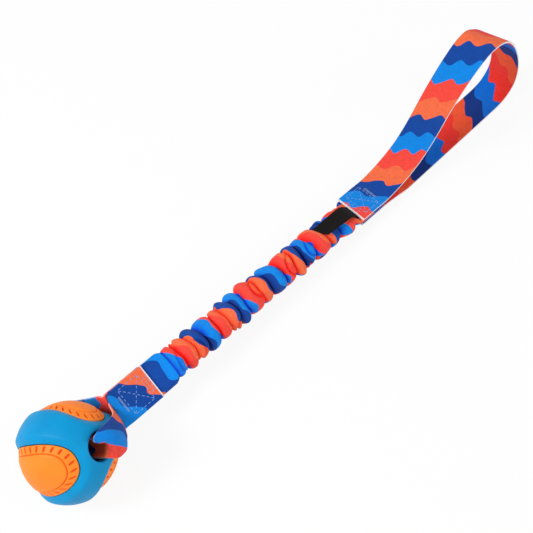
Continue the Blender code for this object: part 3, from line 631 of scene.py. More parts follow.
def stripGrid(stations, spacing):
    # stations: place in metres, direction across and curl in degrees, and where the strip is uneven
    # there, five places across it
    points = np.array([s[0] for s in stations])
    sides = np.array([s[1] for s in stations])
    curl = np.radians([float(s[2]) for s in stations])
    knots = distancesOf(points)
    total = knots[-1]
    at = np.linspace(0, total, max(2, round(total / mm / spacing)) + 1)
    lead = np.array(webbing["endRows"]) * mm
    clear = webbing["endClear"] * mm
    at = np.concatenate(([0.0], lead, at[(at > clear) & (at < total - clear)], total - lead[::-1], [total]))
    nudge = spacing * mm / 10
    lip = webbing["edgeRound"] / halfWebbing
    columns = np.linspace(-1, 1, webbing["columns"])[1:-1] * webbing["columnReach"]
    extent = np.concatenate(([-1.0, -1 + lip], columns, [1 - lip, 1.0]))
    heading = unit(smoothTrack(knots, points, np.minimum(knots + nudge, total))
                   - smoothTrack(knots, points, np.maximum(knots - nudge, 0)))
    side = unit(sides - heading * np.sum(sides * heading, axis=1, keepdims=True))
    face = np.cross(heading, side)
    curl = np.where(np.abs(curl) < 1e-3, 1e-3, curl)[:, None]
    bend, turn = webbing["width"] / curl, curl * extent[None, :] / 2
    x, y = bend * np.sin(turn), bend * (1 - np.cos(turn))
    curves = points[:, None] + (side[:, None] * x[..., None] + face[:, None] * y[..., None]) * mm
    for index, station in enumerate(stations):
        if len(station) > 3:
            curves[index] = smoothTrack(np.linspace(-1, 1, 5), station[3], extent)
    surface = smoothTrack(knots, curves.reshape(len(stations), -1), at).reshape(len(at), len(extent), 3)
    surface[..., 2] = np.maximum(surface[..., 2], onTable * mm)
    normal = unit(np.cross(np.gradient(surface, axis=0), np.gradient(surface, axis=1)))
    return at / mm, extent, surface, normal


def webbingPiece(name, strip, printRun, edgePale=1.0, paintedInnerShade=0.0):
    # the strip's ring: over one face, round one edge, back over the other face, round the other edge
    at, extent, surface, normal = strip
    inner = slice(1, -1)
    out = normal * onTable * mm
    soft = normal * webbing["edgeSoft"] * onTable * mm
    over, under, softOver, softUnder = surface + out, surface - out, surface + soft, surface - soft
    ring = np.concatenate((over[:, inner], softOver[:, -1:], softUnder[:, -1:], under[:, inner][:, ::-1],
                           softUnder[:, :1], softOver[:, :1]), axis=1)
    across = extent * halfWebbing
    across = np.concatenate((across[inner], across[[-1, -1]], across[inner][::-1], across[[0, 0]]))
    # painted shade: one face of the strip, the hand loop's inner face, takes the print's deeper colour
    fold = np.zeros(ring.shape[:2])
    fold[:, :len(extent) - 2] = paintedInnerShade
    pale = np.zeros(ring.shape[:2])
    pale[:, np.abs(across) > halfWebbing - 0.01] = edgePale
    pale[(at < webbing["cutPale"]) | (at > at[-1] - webbing["cutPale"])] = 1.0
    cloth = clothPlaces(printRun[:, None], across[None, :], at[:, None])
    return ringPiece(name, ring, printedWebbing, {"cloth": cloth, "pale": pale, "fold": fold}, 50)


def turnedAbout(axis, degrees, vector):
    return np.array(Matrix.Rotation(math.radians(degrees), 3, Vector(axis)) @ Vector(vector))


ballStrap = {
    "row": 0.6, "printStart": 53.0, "edgePale": 0.35,
    "hidden": 21.5, "hiddenFrom": 29.5, "hiddenTo": 41.0,   # cloth tucked away where the block ends
    "flatLead": (12.0, 5.0), "tailLead": 2.0,
    "fold": (39.8, 38.6, 37.2, 35.6, 34.0),         # where the block ends, from edge to edge
    # front leg from the block into the mouth: five places across it, in mm along the bore,
    # towards the throat and to the side
    "front": (
        ((11.6, 35, 6.9), (14.8, 32.6, 1.3), (17.1, 30.7, -4.3), (17.3, 29.9, -10), (15.9, 29, -15.4)),
        ((21.8, 26.2, 4.5), (25.5, 24.7, 0.1), (25.6, 23.9, -5.1), (24.3, 23.5, -9.8), (20.8, 23.9, -14.6)),
        ((33.4, 13, 8.8), (34.2, 15.4, 2.9), (32.9, 17, -3.7), (29.3, 18.2, -9.5), (24.3, 19.7, -15.1)),
        ((36.4, 5, 10.4), (38.2, 8.7, 5.3), (37.1, 11.6, -1.9), (33.5, 13.8, -8.8), (28.4, 15.2, -14.6)),
        ((37.1, -0.5, 10.9), (40.1, 3.2, 6.8), (40.3, 6.4, 0.7), (37.5, 9, -7), (31.5, 11.1, -14)),
        ((36.8, -4.7, 10), (38.2, -2.3, 6.2), (39.6, 0.4, 2.8), (37.7, 2.7, -4), (33.2, 4.7, -12.8)),
        ((33.4, -3.2, 6.1), (34.5, -1.1, 3.7), (35.3, 1.8, 0.7), (33.6, 3.1, -6), (33.6, 1.5, -11))),
    # depth in the bore over the ball's radius, off its axis, curl, swing
    "depths": ((0.80, 7.4, 200.0, -8.0), (0.45, 7.5, 200.0, 5.0), (0.15, 7.5, 215.0, 15.0),
               (-0.15, 7.5, 235.0, 22.0), (-0.4, 7.5, 250.0, 28.0), (-0.65, 7.5, 280.0, 32.0),
               (-0.92, 7.5, 280.0, 32.0)),
    # share of the way round the back, radius over the ball's, swing, curl
    "rear": ((0.135, 1.05, 32.0, 248.0), (0.21, 1.065, 32.0, 172.0), (0.30, 1.07, 25.6, 96.0),
             (0.42, 1.065, 14.4, 36.0), (0.58, 1.06, 3.8, 8.0), (0.76, 1.07, 0.0, 0.0),
             (0.90, 1.10, 0.0, 0.0), (0.955, 1.09, 0.0, 0.0)),
}
legSide = unit(np.cross(boreAxis, alongAxis))
legTowards = unit(np.cross(legSide, boreAxis))
legAxes = np.array((boreAxis, legTowards, legSide))
throatAngle = math.acos(float(boreAxis @ alongAxis))


def onBallBlock(along, lift):
    return ballCentre + (alongAxis * along + seamNormal * lift) * mm


def ballStrapStations():
    size = ballStrap
    front = legSide if legSide @ seamAcross > 0 else -legSide
    layer, throat, seam = bungee["layer"], bungee["ballThroat"], bungee["ballSeam"]
    stations = [(onBallBlock(along, layer), seamAcross, 0)
                for along in (seam, *(throat + lead for lead in size["flatLead"]))]
    fold = np.array([onBallBlock(along, layer) + seamAcross * share * halfWebbing * mm
                     for along, share in zip(size["fold"], np.linspace(-1, 1, 5))])
    stations.append((fold[2], seamAcross, 0, fold))
    for row in size["front"]:
        places = ballCentre + np.array(row) @ legAxes * mm
        stations.append((places[2], unit(places[4] - places[0]), 0, places))
    for depth, lean, curl, swing in size["depths"]:
        aside = turnedAbout(boreAxis, swing, legTowards) * lean
        stations.append((ballCentre + (boreAxis * depth * ball["radius"] + aside) * mm,
                         turnedAbout(boreAxis, swing, front), curl))
    for angleShare, radiusShare, swing, curl in size["rear"]:
        angle = (math.pi - throatAngle) * angleShare
        outward = turnedAbout(boreAxis, swing, legTowards) * math.sin(angle) - boreAxis * math.cos(angle)
        stations.append((ballCentre + outward * ball["radius"] * radiusShare * mm,
                         turnedAbout(boreAxis, swing, front), curl))
    return stations + [(onBallBlock(along, -layer), seamAcross, 0)
                       for along in (throat, throat + size["tailLead"], seam)]


strap = stripGrid(ballStrapStations(), ballStrap["row"])
tucked = ballStrap["hidden"] * easeIn(ballStrap["hiddenFrom"], ballStrap["hiddenTo"], strap[0])
ballStrapPiece = webbingPiece("ballStrap", strap, ballStrap["printStart"] - strap[0] - tucked,
                              edgePale=ballStrap["edgePale"])
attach(ballStrapPiece, "ball_end")
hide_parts("ball_strap")
print("ball strap made, %.0f mm long" % strap[0][-1])

# Hand loop: one strip, its two ends sewn over and under the sleeve's end

handle = {
    "length": 149.2, "height": 97.3, "flatStart": 25.0, "flatEnd": 122.0, "printStart": 12.1, "row": 1.0,
    # the last is the painted shade on the loop's inner face
    "blockFlat": 14.0, "riseShare": 0.45, "paintedInnerShade": 0.45,
    # over the top the far edge lies nearer the bungee than the near edge
    "lean": 8.5, "leanAt": 9.5, "leanWide": 2.6,
    # how far the arch leans to the near side
    "sway": 2.8, "swayAt": 8.0, "swayWide": 3.4,
    # shares of the loop's length and height, from the top of the throat over the arch
    "arch": ((0.12, 0.175), (0.205, 0.245), (0.265, 0.333), (0.318, 0.45), (0.372, 0.60),
             (0.425, 0.735), (0.485, 0.86), (0.557, 0.962), (0.63, 1.0), (0.703, 0.967),
             (0.776, 0.89), (0.85, 0.755), (0.916, 0.59), (0.968, 0.425), (1.0, 0.26),
             (0.998, 0.127), (0.955, 0.035), (0.89, 0.003)),
    # the print runs slower down the arch and along the lower run: distance, and how far behind it is
    "slack": ((0.0, 1.3), (45.0, 0.8), (150.0, 1.4), (191.0, 5.5), (230.8, 15.5), (258.5, 27.0),
              (283.2, 35.0), (306.0, 36.2), (326.0, 37.6), (350.0, 41.0), (380.0, 45.5), (500.0, 66.0)),
}


def handleStations():
    size = handle
    throatX = ballCentre[0] / mm + bungee["handleThroat"]
    topBlock, lowBlock = ([alongPlace(along) + aboveAxis * mm * lift
                           for along in (bungee["handleSeam"], bungee["handleSeam"] + size["blockFlat"],
                                         bungee["handleThroat"])]
                          for lift in (bungee["topTail"], -bungee["layer"]))

    def flatPlace(x, z):
        return np.array((throatX + x, 0, onTable + z)) * mm

    stations = [(place, levelAxis, 0) for place in topBlock]
    for index, (x, z) in enumerate(size["arch"]):
        share = math.exp(-((index - size["leanAt"]) / size["leanWide"]) ** 2)
        slant = unit(levelAxis + alongAxis * size["lean"] * share / webbing["width"])
        place = flatPlace(size["length"] * x - size["lean"] * share / 2, size["height"] * z)
        sway = size["sway"] * math.exp(-((index - size["swayAt"]) / size["swayWide"]) ** 2)
        stations.append((place + levelAxis * sway * mm, slant, 0))
    flatRun = [flatPlace(x, 0) for x in (size["flatEnd"], (size["flatStart"] + size["flatEnd"]) / 2,
                                         size["flatStart"])]
    rise = flatRun[-1] + (lowBlock[-1] - flatRun[-1]) * (1 - size["riseShare"])
    return stations + [(place, levelAxis, 0) for place in flatRun + [rise] + lowBlock[::-1]]


strap = stripGrid(handleStations(), handle["row"])
slackAt, slackBy = np.array(handle["slack"]).T
slack = smoothTrack(slackAt, slackBy, strap[0])[:, 0]
handlePiece = webbingPiece("handleWebbing", strap, handle["printStart"] + strap[0] - slack,
                           paintedInnerShade=handle["paintedInnerShade"])
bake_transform(handlePiece)
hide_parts("handle_strap", "handle_tail_top", "handle_tail_bottom")
print("hand loop made, %.0f mm long" % strap[0][-1])

# Sleeve: a flat tube of printed cloth, gathered into deep folds over the elastic

sleeve = {
    "halfWidth": 12.2, "halfThick": 1.7, "crest": 11.1, "valley": 6.5, "folds": 16, "inset": 3.0,
    "wall": 0.8, "innerLeast": 0.55, "tableGap": 0.4, "columns": 192, "foldRows": 26, "seed": 31,
    "foldWide": (0.72, 1.3), "wideFolds": 3, "widerBy": 1.25,    # the last folds, next to the hand loop
    # how the creases wander round the ring: times round it, and height
    "creaseTilt": 1.6, "creaseWaves": ((1, 0.55), (2, 0.35), (3, 0.22), (5, 0.14)),
    "creaseDeep": (-0.5, 1.0), "creaseLean": 0.7, "calmFolds": 1.5,
    "crestVary": (-0.5, 0.25), "crestByWidth": 0.4, "swell": 0.45, "swellWaves": ((2, 0.6), (1, 0.5)),
    "apexWaves": ((1, 0.14), (3, 0.08)),                # where the crest is between its two creases
    # each fold leans over the crease behind it
    "overhang": 0.9, "overhangVary": 0.4, "leanBack": 1.2, "leanOn": 0.5,
    "ears": 1.6, "earShares": (0.0, 0.0, 0.5, 1.0), "earSharp": 22,      # ridges at some folds' side edges
    "pleats": 0.14, "pleatCounts": (7, 9, 11),
    # powers that shape a fold, the ridges at its side edges and the fade of its pleats
    "puff": (2.7, 0.75), "ridge": (1.5, 1.2), "pleatFade": (1.3, 8), "rowsCloser": 0.07,
    # shorter creases that curve off the long ones
    "arcDeep": 2.0, "arcVary": (0.8, 1.2), "arcWide": 0.9, "arcCounts": (1, 2, 2), "arcSpread": (48, 80),
    "arcStart": (0.36, 0.66), "arcEnds": (0.02, 0.98),
    # the creases at the label's end follow its skewed edge
    "labelLength": 31.0, "labelSkew": 4.5, "skewFolds": 1.3, "underLabel": 9.1, "overLabel": 11.9,
    "topSpan": (0.4, 0.75), "labelClear": 2, "labelTuck": 0.8,
    # the flat rows: on the ball's block, up to the gathers, past them and on the hand loop's block
    "flatCounts": (4, 16, 7, 4), "seamGap": 0.7, "blockGap": 2.0, "flatRise": 1.2, "ripple": 0.25,
    "closeRun": 4.5, "blockRuns": (6, 28),
    # the last is how strongly the creases get painted shade
    "printPerAlong": 1.914, "printStart": 48.8, "lateRun": 6.0, "lateFrom": 4, "paintedCreaseShade": 1.6,
}
flexStart = bungee["ballSeam"]
flexEnd = flexStart + bungee["flatSleeve"]
stretchStart = flexEnd + bungee["flare"]
gatherStart = flexEnd + bungee["flare"] / 2
gatherEnd = bungee["handleSeam"] - bungee["flare"] / 2
labelReach = bungee["handleSeam"] - sleeve["labelLength"]


def bungeeFrames(along):
    # the seam next to the ball is rolled about the bungee, and the one next to the hand loop is level
    roll = np.radians(bungee["seamRoll"] * (1 - easeIn(flexEnd, bungee["handleSeam"], along)))[:, None]
    return (levelAxis * np.cos(roll) - aboveAxis * np.sin(roll),
            aboveAxis * np.cos(roll) + levelAxis * np.sin(roll))


def roundnessAt(along):
    lateStart = bungee["handleSeam"] - bungee["flare"] * bungee["lateFlare"]
    return easeIn(flexEnd, stretchStart, along) * (1 - easeIn(lateStart, bungee["handleSeam"], along))


def softRing(c, s, halfWidth, halfThick, roundness):
    # from a flat ring with square ends to a round one
    power = 4.0 - 2.0 * roundness
    return (halfWidth * np.sign(c) * np.abs(c) ** (2 / power),
            halfThick * np.sign(s) * np.abs(s) ** (2 / power))


def foldEdges():
    size = sleeve
    count = size["folds"]
    widths = np.array([random.uniform(*size["foldWide"]) for _ in range(count)])
    widths[-size["wideFolds"]:] *= size["widerBy"]
    widths *= (gatherEnd - gatherStart) / widths.sum()
    edges = gatherStart + np.concatenate(([0.0], np.cumsum(widths)))
    nearest = int(np.argmin(np.abs(edges - labelReach)))    # a crease takes the label's end
    inner = np.arange(1, count)
    share = np.minimum(1, np.minimum(inner / nearest, (count - inner) / (count - nearest)))
    edges[1:-1] += (labelReach - edges[nearest]) * share
    return edges, nearest


def foldCreases(edges, nearest, angle):
    size = sleeve
    count = size["folds"]
    creases = []
    for index in range(count + 1):
        phases = [random.uniform(0, fullTurn) for _ in size["creaseWaves"]]
        lean = wavesOf(angle, size["creaseWaves"], phases)
        hold = min(1.0, index / size["calmFolds"], (count - index) / size["calmFolds"])
        depth = size["valley"] + random.uniform(*size["creaseDeep"])
        depth = depth + size["creaseLean"] * np.sin(angle + random.uniform(0, fullTurn))
        follow = math.exp(-((index - nearest) / size["skewFolds"]) ** 2) if index < count else 0.0
        lean = lean * size["creaseTilt"] * hold - size["labelSkew"] * follow * (1 - np.cos(angle)) / 2
        creases.append((edges[index] + lean, depth))
    return creases


def makeSleeve():
    size = sleeve
    random.seed(size["seed"])
    low, high = bungee["ballThroat"] + size["inset"], bungee["handleThroat"] - size["inset"]
    angle = np.linspace(0, fullTurn, size["columns"], endpoint=False)
    c, s = np.cos(angle), np.sin(angle)
    side = np.abs(c) ** size["earSharp"]        # near the two side edges of the flat tube
    onTop = easeIn(*size["topSpan"], s)         # under the label
    clear = labelReach - size["labelClear"]
    edges, nearest = foldEdges()
    widths = np.diff(edges)
    creases = foldCreases(edges, nearest, angle)
    rows, runs, depths = [], [], []

    def addRow(along, radius, printRun, depth=0.0):
        # along and radius vary round the ring, and depth is the share of painted shade in a crease
        roundness = roundnessAt(along)
        halfWidth = size["halfWidth"] + (radius - size["halfWidth"]) * roundness
        halfThick = size["halfThick"] + (radius - size["halfThick"]) * roundness
        x, y = softRing(c, s, halfWidth, halfThick, roundness)
        across, up = bungeeFrames(along)
        rows.append(ballCentre + (alongAxis * along[:, None] + across * x[:, None] + up * y[:, None]) * mm)
        depths.append(np.clip(depth, 0, 1) + 0 * along)
        runs.append(printRun + size["lateRun"] * easeIn(labelReach - size["lateFrom"], gatherEnd, along))

    def flatRows(first, last, count, runFirst, runLast):
        for t in np.linspace(0, 1, count):
            along = np.full(len(angle), first + (last - first) * t)
            ripple = size["ripple"] * np.sin(3 * angle + along * 0.9) * roundnessAt(along)
            addRow(along, size["valley"] + size["flatRise"] + ripple, runFirst + (runLast - runFirst) * t)

    def foldArcs():
        arcs = []
        for _ in range(random.choice(size["arcCounts"])):
            turned = (angle - random.uniform(0, fullTurn) + math.pi) % fullTurn - math.pi
            spread = np.abs(turned) / math.radians(random.uniform(*size["arcSpread"]))
            start = random.uniform(*size["arcStart"])
            end = random.choice(size["arcEnds"])
            deep = np.clip(1 - spread ** 3, 0, 1) * random.uniform(*size["arcVary"]) * size["arcDeep"]
            arcs.append((start + (end - start) * spread ** 2, deep))
        return arcs

    flatEnd = gatherStart - bungee["ballSeam"]
    seamGap = size["seamGap"]
    ballRows, openRows, closeRows, handleRows = size["flatCounts"]
    flatRows(low, bungee["ballSeam"], ballRows, low - bungee["ballSeam"], 0.0)
    flatRows(bungee["ballSeam"] + seamGap, gatherStart - seamGap, openRows, seamGap, flatEnd - seamGap)
    cut = len(rows) + 1
    for index, width in enumerate(widths):
        (placeA, deepA), (placeB, deepB) = creases[index:index + 2]
        phases = [random.uniform(0, fullTurn) for _ in range(6)]
        crest = size["crest"] + random.uniform(*size["crestVary"])
        crest += size["crestByWidth"] * (width / widths.mean() - 1)
        crest = crest + size["swell"] * wavesOf(angle, size["swellWaves"], phases)
        ears = [size["ears"] * random.choice(size["earShares"]) for _ in range(2)]
        ears = np.where(c > 0, *ears) * side
        apex = 0.5 + wavesOf(angle, size["apexWaves"], phases[2:])
        pleatCount = random.choice(size["pleatCounts"])
        pleatWave = wavesOf(angle, ((pleatCount, 1.0), (pleatCount + 4, 0.6)), phases[4:])
        tuck = size["overhang"] * (1 + size["overhangVary"] * (np.sin(angle + phases[5]) - 1))
        arcs = foldArcs()
        if edges[index] > clear:
            crest = crest + (size["underLabel"] - crest) * onTop
        elif edges[index + 1] > clear:
            crest = crest + (size["overLabel"] - crest) * onTop
            tuck = tuck * (1 - onTop) - size["labelTuck"] * onTop
        for step in range(size["foldRows"]):
            t = step / size["foldRows"]
            t = t - size["rowsCloser"] * math.sin(fullTurn * t)        # closer at the creases
            shaped = np.where(t < apex, t / apex * 0.5, 0.5 + (t - apex) / (1 - apex) * 0.5)
            away = np.abs(2 * shaped - 1)
            puff, ridge = ((1 - away ** rise) ** fall for rise, fall in (size["puff"], size["ridge"]))
            pleatShare = away ** size["pleatFade"][0] * (1 - away ** size["pleatFade"][1])
            deep = deepA + (deepB - deepA) * t
            radius = deep + (crest - deep) * puff + ears * ridge + size["pleats"] * pleatWave * pleatShare
            for line, depth in arcs:
                radius = radius - depth * np.exp(-((t - line) * width / size["arcWide"]) ** 2) * puff ** 0.5
            lean = size["leanBack"] * (1 - t) - size["leanOn"] * t
            along = placeA + (placeB - placeA) * t - tuck * puff * lean
            # painted shade: darker and fuller the further the cloth goes in from the crest
            inward = (crest - radius) / (crest - size["valley"]) * size["paintedCreaseShade"]
            gathered = edges[index] - gatherStart + width * t
            addRow(along, radius, flatEnd + gathered * size["printPerAlong"], inward)
    lastRun = flatEnd + (gatherEnd - gatherStart) * size["printPerAlong"]
    blockRuns = [lastRun + run for run in size["blockRuns"]]
    flatRows(gatherEnd, bungee["handleSeam"], closeRows, lastRun, lastRun + size["closeRun"])
    flatRows(bungee["handleSeam"] + size["blockGap"], high, handleRows, *blockRuns)
    grid = np.array(rows)
    grid[..., 2] = np.maximum(grid[..., 2], size["tableGap"] * mm)
    across = np.degrees(angle)[None, :] / 90 * halfWebbing
    cloth = clothPlaces(size["printStart"] - np.array(runs), across, np.array(runs))
    return grid, cloth, np.array(depths), cut


def tubePiece(name, grid, cloth, depth):
    # the cloth's outer face and a plain inner face, joined at both ends
    centres = grid.mean(axis=1, keepdims=True)
    away = grid - centres
    length = np.linalg.norm(away, axis=2, keepdims=True)
    inner = centres + away * np.maximum(1 - sleeve["wall"] * mm / length, sleeve["innerLeast"])
    # depth is the painted shade in the creases, the same on both faces
    cloth, depth = (np.concatenate((part, part[::-1])) for part in (cloth, depth))
    return ringPiece(name, np.concatenate((grid, inner[::-1])), printedSleeve,
                     {"cloth": cloth, "pale": np.zeros(depth.shape), "fold": depth}, 75, loopRows=True)


sleeveGrid, sleeveCloth, sleevePaintedShade, cut = makeSleeve()
for name, part, inside in (("sleeveBallEnd", slice(0, cut), "coreBallEnd"),
                           ("sleeveGathers", slice(cut - 1, None), "coreHandleEnd")):
    piece = tubePiece(name, sleeveGrid[part], sleeveCloth[part], sleevePaintedShade[part])
    if name == "sleeveBallEnd":
        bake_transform(piece)
    else:
        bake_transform(piece)
    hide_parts("bungee_sleeve")
print("sleeve made")

# Elastic core inside the sleeve: round, and pressed flat where it is sewn in

core = {
    "radius": 4.5, "tabWidth": 8.0, "tabThick": 0.6, "inset": 6.0, "split": 90.0, "columns": 48, "row": 1.5,
}


def makeCore(name, first, last):
    along = np.linspace(first, last, max(3, int((last - first) / core["row"])))
    angle = np.linspace(0, fullTurn, core["columns"], endpoint=False)
    roundness = roundnessAt(along)[:, None]
    halfWidth = core["tabWidth"] + (core["radius"] - core["tabWidth"]) * roundness
    halfThick = core["tabThick"] + (core["radius"] - core["tabThick"]) * roundness
    x, y = softRing(np.cos(angle), np.sin(angle), halfWidth, halfThick, roundness)
    across, up = bungeeFrames(along)
    middle = ballCentre + alongAxis * along[:, None] * mm
    grid = middle[:, None] + (across[:, None] * x[..., None] + up[:, None] * y[..., None]) * mm
    cloth = clothPlaces(along[:, None], core["radius"] * angle[None, :], 0.0)
    return ringPiece(name, grid, rawLatex, {"cloth": cloth}, 60)


coreBallEnd = makeCore("coreBallEnd", bungee["ballThroat"] + core["inset"], core["split"])
coreHandleEnd = makeCore("coreHandleEnd", core["split"], bungee["handleThroat"] - core["inset"])
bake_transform(coreBallEnd)
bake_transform(coreHandleEnd)
for piece in (coreBallEnd, coreHandleEnd):
    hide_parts("elastic_core")
print("core made")

# Label: a plain black tag, sewn in under the top tail

label = {
    "length": 32.5, "width": 13.0, "thick": 0.55, "offset": 2.0, "lift": 2.2, "tuck": 1.5,
    # its far corner lies further out, its near one further in
    "skew": 5.0, "skewBack": 0.6, "narrow": 2.4,
    "rise": ((0.12, 0.62), (0.27, 0.98), (0.6, 1.0), (1.0, 0.97)), "height": 10.1,
    "rows": 70, "columns": 25, "wave": 0.25, "waveAcross": 2.4, "waveAlong": 5, "cup": 0.3,
}


def makeLabel():
    size = label
    places = [(size["tuck"], size["lift"]), (-0.5, size["lift"])]
    places += [(-size["length"] * x, size["height"] * z) for x, z in size["rise"]]
    points = np.array([alongPlace(bungee["handleSeam"] + x) + aboveAxis * z * mm for x, z in places])
    knots = distancesOf(points)
    at = np.linspace(0, knots[-1], size["rows"])
    slow = (at / knots[-1])[:, None]
    shares = np.linspace(-1, 1, size["columns"])[None, :]
    nearShare = (1 + shares) / 2
    further = ((1 - shares) / 2 * size["skew"] - nearShare * size["skewBack"]) * slow ** 1.5
    aside = size["offset"] + shares * size["width"] / 2 - nearShare * size["narrow"] * slow
    wave = size["wave"] * np.sin(size["waveAcross"] * shares + size["waveAlong"] * slow)
    lift = (wave + size["cup"] * shares ** 2) * slow
    surface = smoothTrack(knots, points, at)[:, None] + (
        levelAxis * aside[..., None] - alongAxis * further[..., None] + aboveAxis * lift[..., None]) * mm
    normal = unit(np.cross(np.gradient(surface, axis=0), np.gradient(surface, axis=1)))
    half = size["thick"] / 2 * mm
    ring = np.concatenate((surface + normal * half, (surface - normal * half)[:, ::-1]), axis=1)
    across = shares[0] * size["width"] / 2
    cloth = clothPlaces(at[:, None] / mm, np.concatenate((across, across[::-1]))[None, :], at[:, None] / mm)
    return ringPiece("blackTag", ring, blackSatinTape, {"cloth": cloth}, 50), float(knots[-1])


labelPiece, labelReal = makeLabel()
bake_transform(labelPiece)
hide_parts("label")
print("label made")

# Stitches: short bent lengths of thread, set in rows on both faces of each block

stitching = {
    "long": 2.3, "longShare": 0.8, "pitch": 3.0, "thick": 0.16, "wider": 1.25, "margin": 3.0,
    "boxBack": 8.6, "rowSpacing": 2.0, "rowShare": 0.68,
    "tackShare": 0.62, "tackLong": 2.0, "tackPitch": 0.75, "tackGap": 1.2,
    "rise": 0.3, "sunk": 0.28, "endThick": 0.55, "sides": 8, "steps": 7,
}


def stitchLine(start, end):
    size = stitching
    length = float(np.linalg.norm(np.subtract(end, start)))
    count = max(1, round(length / size["pitch"]))
    heading = np.subtract(end, start) / length
    half = min(size["long"], length / count * size["longShare"]) / 2
    middles = [np.array(start) + heading * length * (index + 0.5) / count for index in range(count)]
    return [(middle - heading * half, middle + heading * half) for middle in middles]


def blockStitches(low, high):
    # two rows next to the cut edge, a box and its cross, all as distances along and across
    size = stitching
    half = halfWebbing - size["margin"]
    heading = math.copysign(1.0, high - low)
    firstRow = high - heading * size["margin"] / 2
    secondRow = firstRow - heading * size["rowSpacing"]
    near = secondRow - heading * size["rowSpacing"]
    far = low + heading * size["boxBack"]
    rowHalf = half * size["rowShare"]
    box = [(near, -half), (near, half), (far, half), (far, -half)]
    seams = [((row, -rowHalf), (row, rowHalf)) for row in (firstRow, secondRow)]
    seams += list(zip(box, box[1:] + box[:1])) + list(zip(box[:2], box[2:]))
    lines = [line for start, end in seams for line in stitchLine(start, end)]
    # a dense zigzag across the far side of the box
    tackHalf = half * size["tackShare"]
    tack = far - heading * size["tackGap"]
    for index in range(int(2 * tackHalf / size["tackPitch"])):
        place = -tackHalf + index * size["tackPitch"]
        ends = ((tack, place), (tack - heading * size["tackLong"], place + size["tackPitch"]))
        lines.append(tuple(np.array(end) for end in (ends if index % 2 else ends[::-1])))
    return lines


def makeStitches(name, low, high, across, up, lifts):
    size = stitching
    sides, steps = size["sides"], size["steps"]
    turns = fullTurn * np.arange(sides) / sides
    points, faces, cloth = [], [], []
    for sign, lift in zip((1, -1), lifts):
        for start, end in blockStitches(low, high):
            length = float(np.linalg.norm(end - start))
            heading = unit(alongAxis * (end - start)[0] + across * (end - start)[1])
            sideways = np.cross(up, heading) * size["wider"]
            ring = sideways * np.cos(turns)[:, None] + up * np.sin(turns)[:, None]
            first = len(points)
            for t in np.arange(steps) / (steps - 1):
                place = start + (end - start) * t
                height = sign * (lift + size["rise"] * (1 - (2 * t - 1) ** 4) - size["sunk"])
                centre = ballCentre + (alongAxis * place[0] + across * place[1] + up * height) * mm
                wide = size["thick"] * (1 - (1 - size["endThick"]) * (2 * t - 1) ** 6)
                points.extend(centre + ring * wide * mm)
                cloth.extend((length * t, wide * turn, 0.0) for turn in turns)
            faces += (ringFaces(steps, sides, False) + first).tolist()
            faces.append(list(range(first, first + sides))[::-1])
            faces.append(list(range(len(points) - sides, len(points))))
    return newPiece(name, np.array(points), faces, paleThread, {"cloth": cloth})


faceLift = bungee["layer"] + onTable
ballStitches = makeStitches("ballEndStitches", bungee["ballThroat"], bungee["ballSeam"],
                            seamAcross, seamNormal, (faceLift, faceLift))
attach(ballStitches, "ball_end")
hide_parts("ball_end_needle_thread", "ball_end_bobbin_thread")
handleStitches = makeStitches("handleEndStitches", bungee["handleThroat"], bungee["handleSeam"],
                              levelAxis, aboveAxis, (bungee["topTail"] + onTable, faceLift))
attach(handleStitches, "handle_end")
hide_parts("handle_end_needle_thread", "handle_end_bobbin_thread")
print("stitches made")

# Floor, light and camera

studio = {
    "floorReach": 3.0, "floorTone": 0.86, "floorRough": 0.9, "floorWhite": 0.9, "world": 0.54,
    # lamps: place, aim, power and size, all lengths in metres
    "lamps": {
        "keyLamp": ((-0.95, 0.3, 0.95), (-0.2, 0, 0.03), 9.6, 0.45),
        "fillLamp": ((0.5, -1.0, 0.8), (-0.15, 0, 0.03), 5.6, 0.9),
    },
}
photoView = {        # lens and sensor in millimetres, the rest in metres
    "lens": 64.17, "sensor": 36.0, "clip": 0.01, "place": (-0.41398, -0.22013, 0.58661),
    "right": (0.6987, -0.7155, 0), "up": (0.6196, 0.6051, 0.5), "back": (-0.3577, -0.3494, 0.866),
}


def seenDirectly(n):
    # 1 to the camera, in gloss and through glass, and 0 to everything else
    rays = n.add("ShaderNodeLightPath").outputs
    seen = n.sum("MAXIMUM", rays["Is Camera Ray"], rays["Is Glossy Ray"])
    return n.sum("MAXIMUM", seen, rays["Is Transmission Ray"])


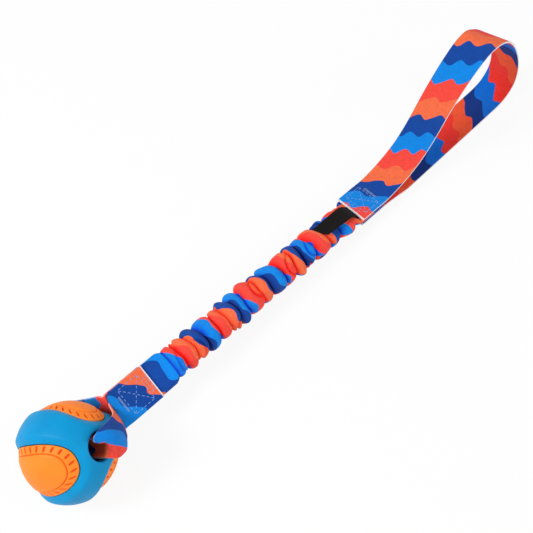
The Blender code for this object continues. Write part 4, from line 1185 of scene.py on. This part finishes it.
scene.world = bpy.data.worlds.new("studioWorld")
n = Nodes(scene.world)
background = n.tree.nodes["Background"]
background.inputs["Color"].default_value = (1, 1, 1, 1)
n.link(n.span(seenDirectly(n), 0.0, 1.0, studio["world"], 1.0), background.inputs["Strength"])

reach = studio["floorReach"]
floorMesh = bpy.data.meshes.new("floor")
floorMesh.from_pydata([(-reach, -reach, 0), (reach, -reach, 0), (reach, reach, 0), (-reach, reach, 0)], [],
                      [(0, 1, 2, 3)])
floor = bpy.data.objects.new("floor", floorMesh)
scene.collection.objects.link(floor)
n = newMaterial("floorWhite")
shader = n.tree.nodes["Principled BSDF"]
shader.inputs["Base Color"].default_value = (studio["floorTone"],) * 3 + (1,)
shader.inputs["Roughness"].default_value = studio["floorRough"]
shader.inputs["Specular IOR Level"].default_value = 0.0
glow = n.add("ShaderNodeEmission")
glow.inputs["Color"].default_value = (1, 1, 1, 1)
mixed = n.add("ShaderNodeMixShader")
n.link(n.sum("MULTIPLY", seenDirectly(n), studio["floorWhite"]), mixed.inputs["Fac"])
n.link(shader.outputs["BSDF"], mixed.inputs[1])
n.link(glow.outputs["Emission"], mixed.inputs[2])
n.link(mixed.outputs["Shader"], n.tree.nodes["Material Output"].inputs["Surface"])
floorMesh.materials.append(n.owner)

for name, (place, aim, power, size) in studio["lamps"].items():
    lamp = bpy.data.lights.new(name, "AREA")
    lamp.energy = power
    lamp.shape = "DISK"
    lamp.size = size
    holder = bpy.data.objects.new(name, lamp)
    holder.location = place
    holder.rotation_euler = (Vector(aim) - Vector(place)).to_track_quat("-Z", "Y").to_euler()
    scene.collection.objects.link(holder)

camera = bpy.data.cameras.new("photoCamera")
camera.lens = photoView["lens"]
camera.sensor_width = photoView["sensor"]
camera.clip_start = photoView["clip"]
holder = bpy.data.objects.new("photoCamera", camera)
turned = Matrix([photoView[key] for key in ("right", "up", "back")]).transposed().to_4x4()
holder.matrix_world = Matrix.Translation(photoView["place"]) @ turned
scene.collection.objects.link(holder)
scene.camera = holder
scene.view_settings.view_transform = "Standard"
print("studio made")
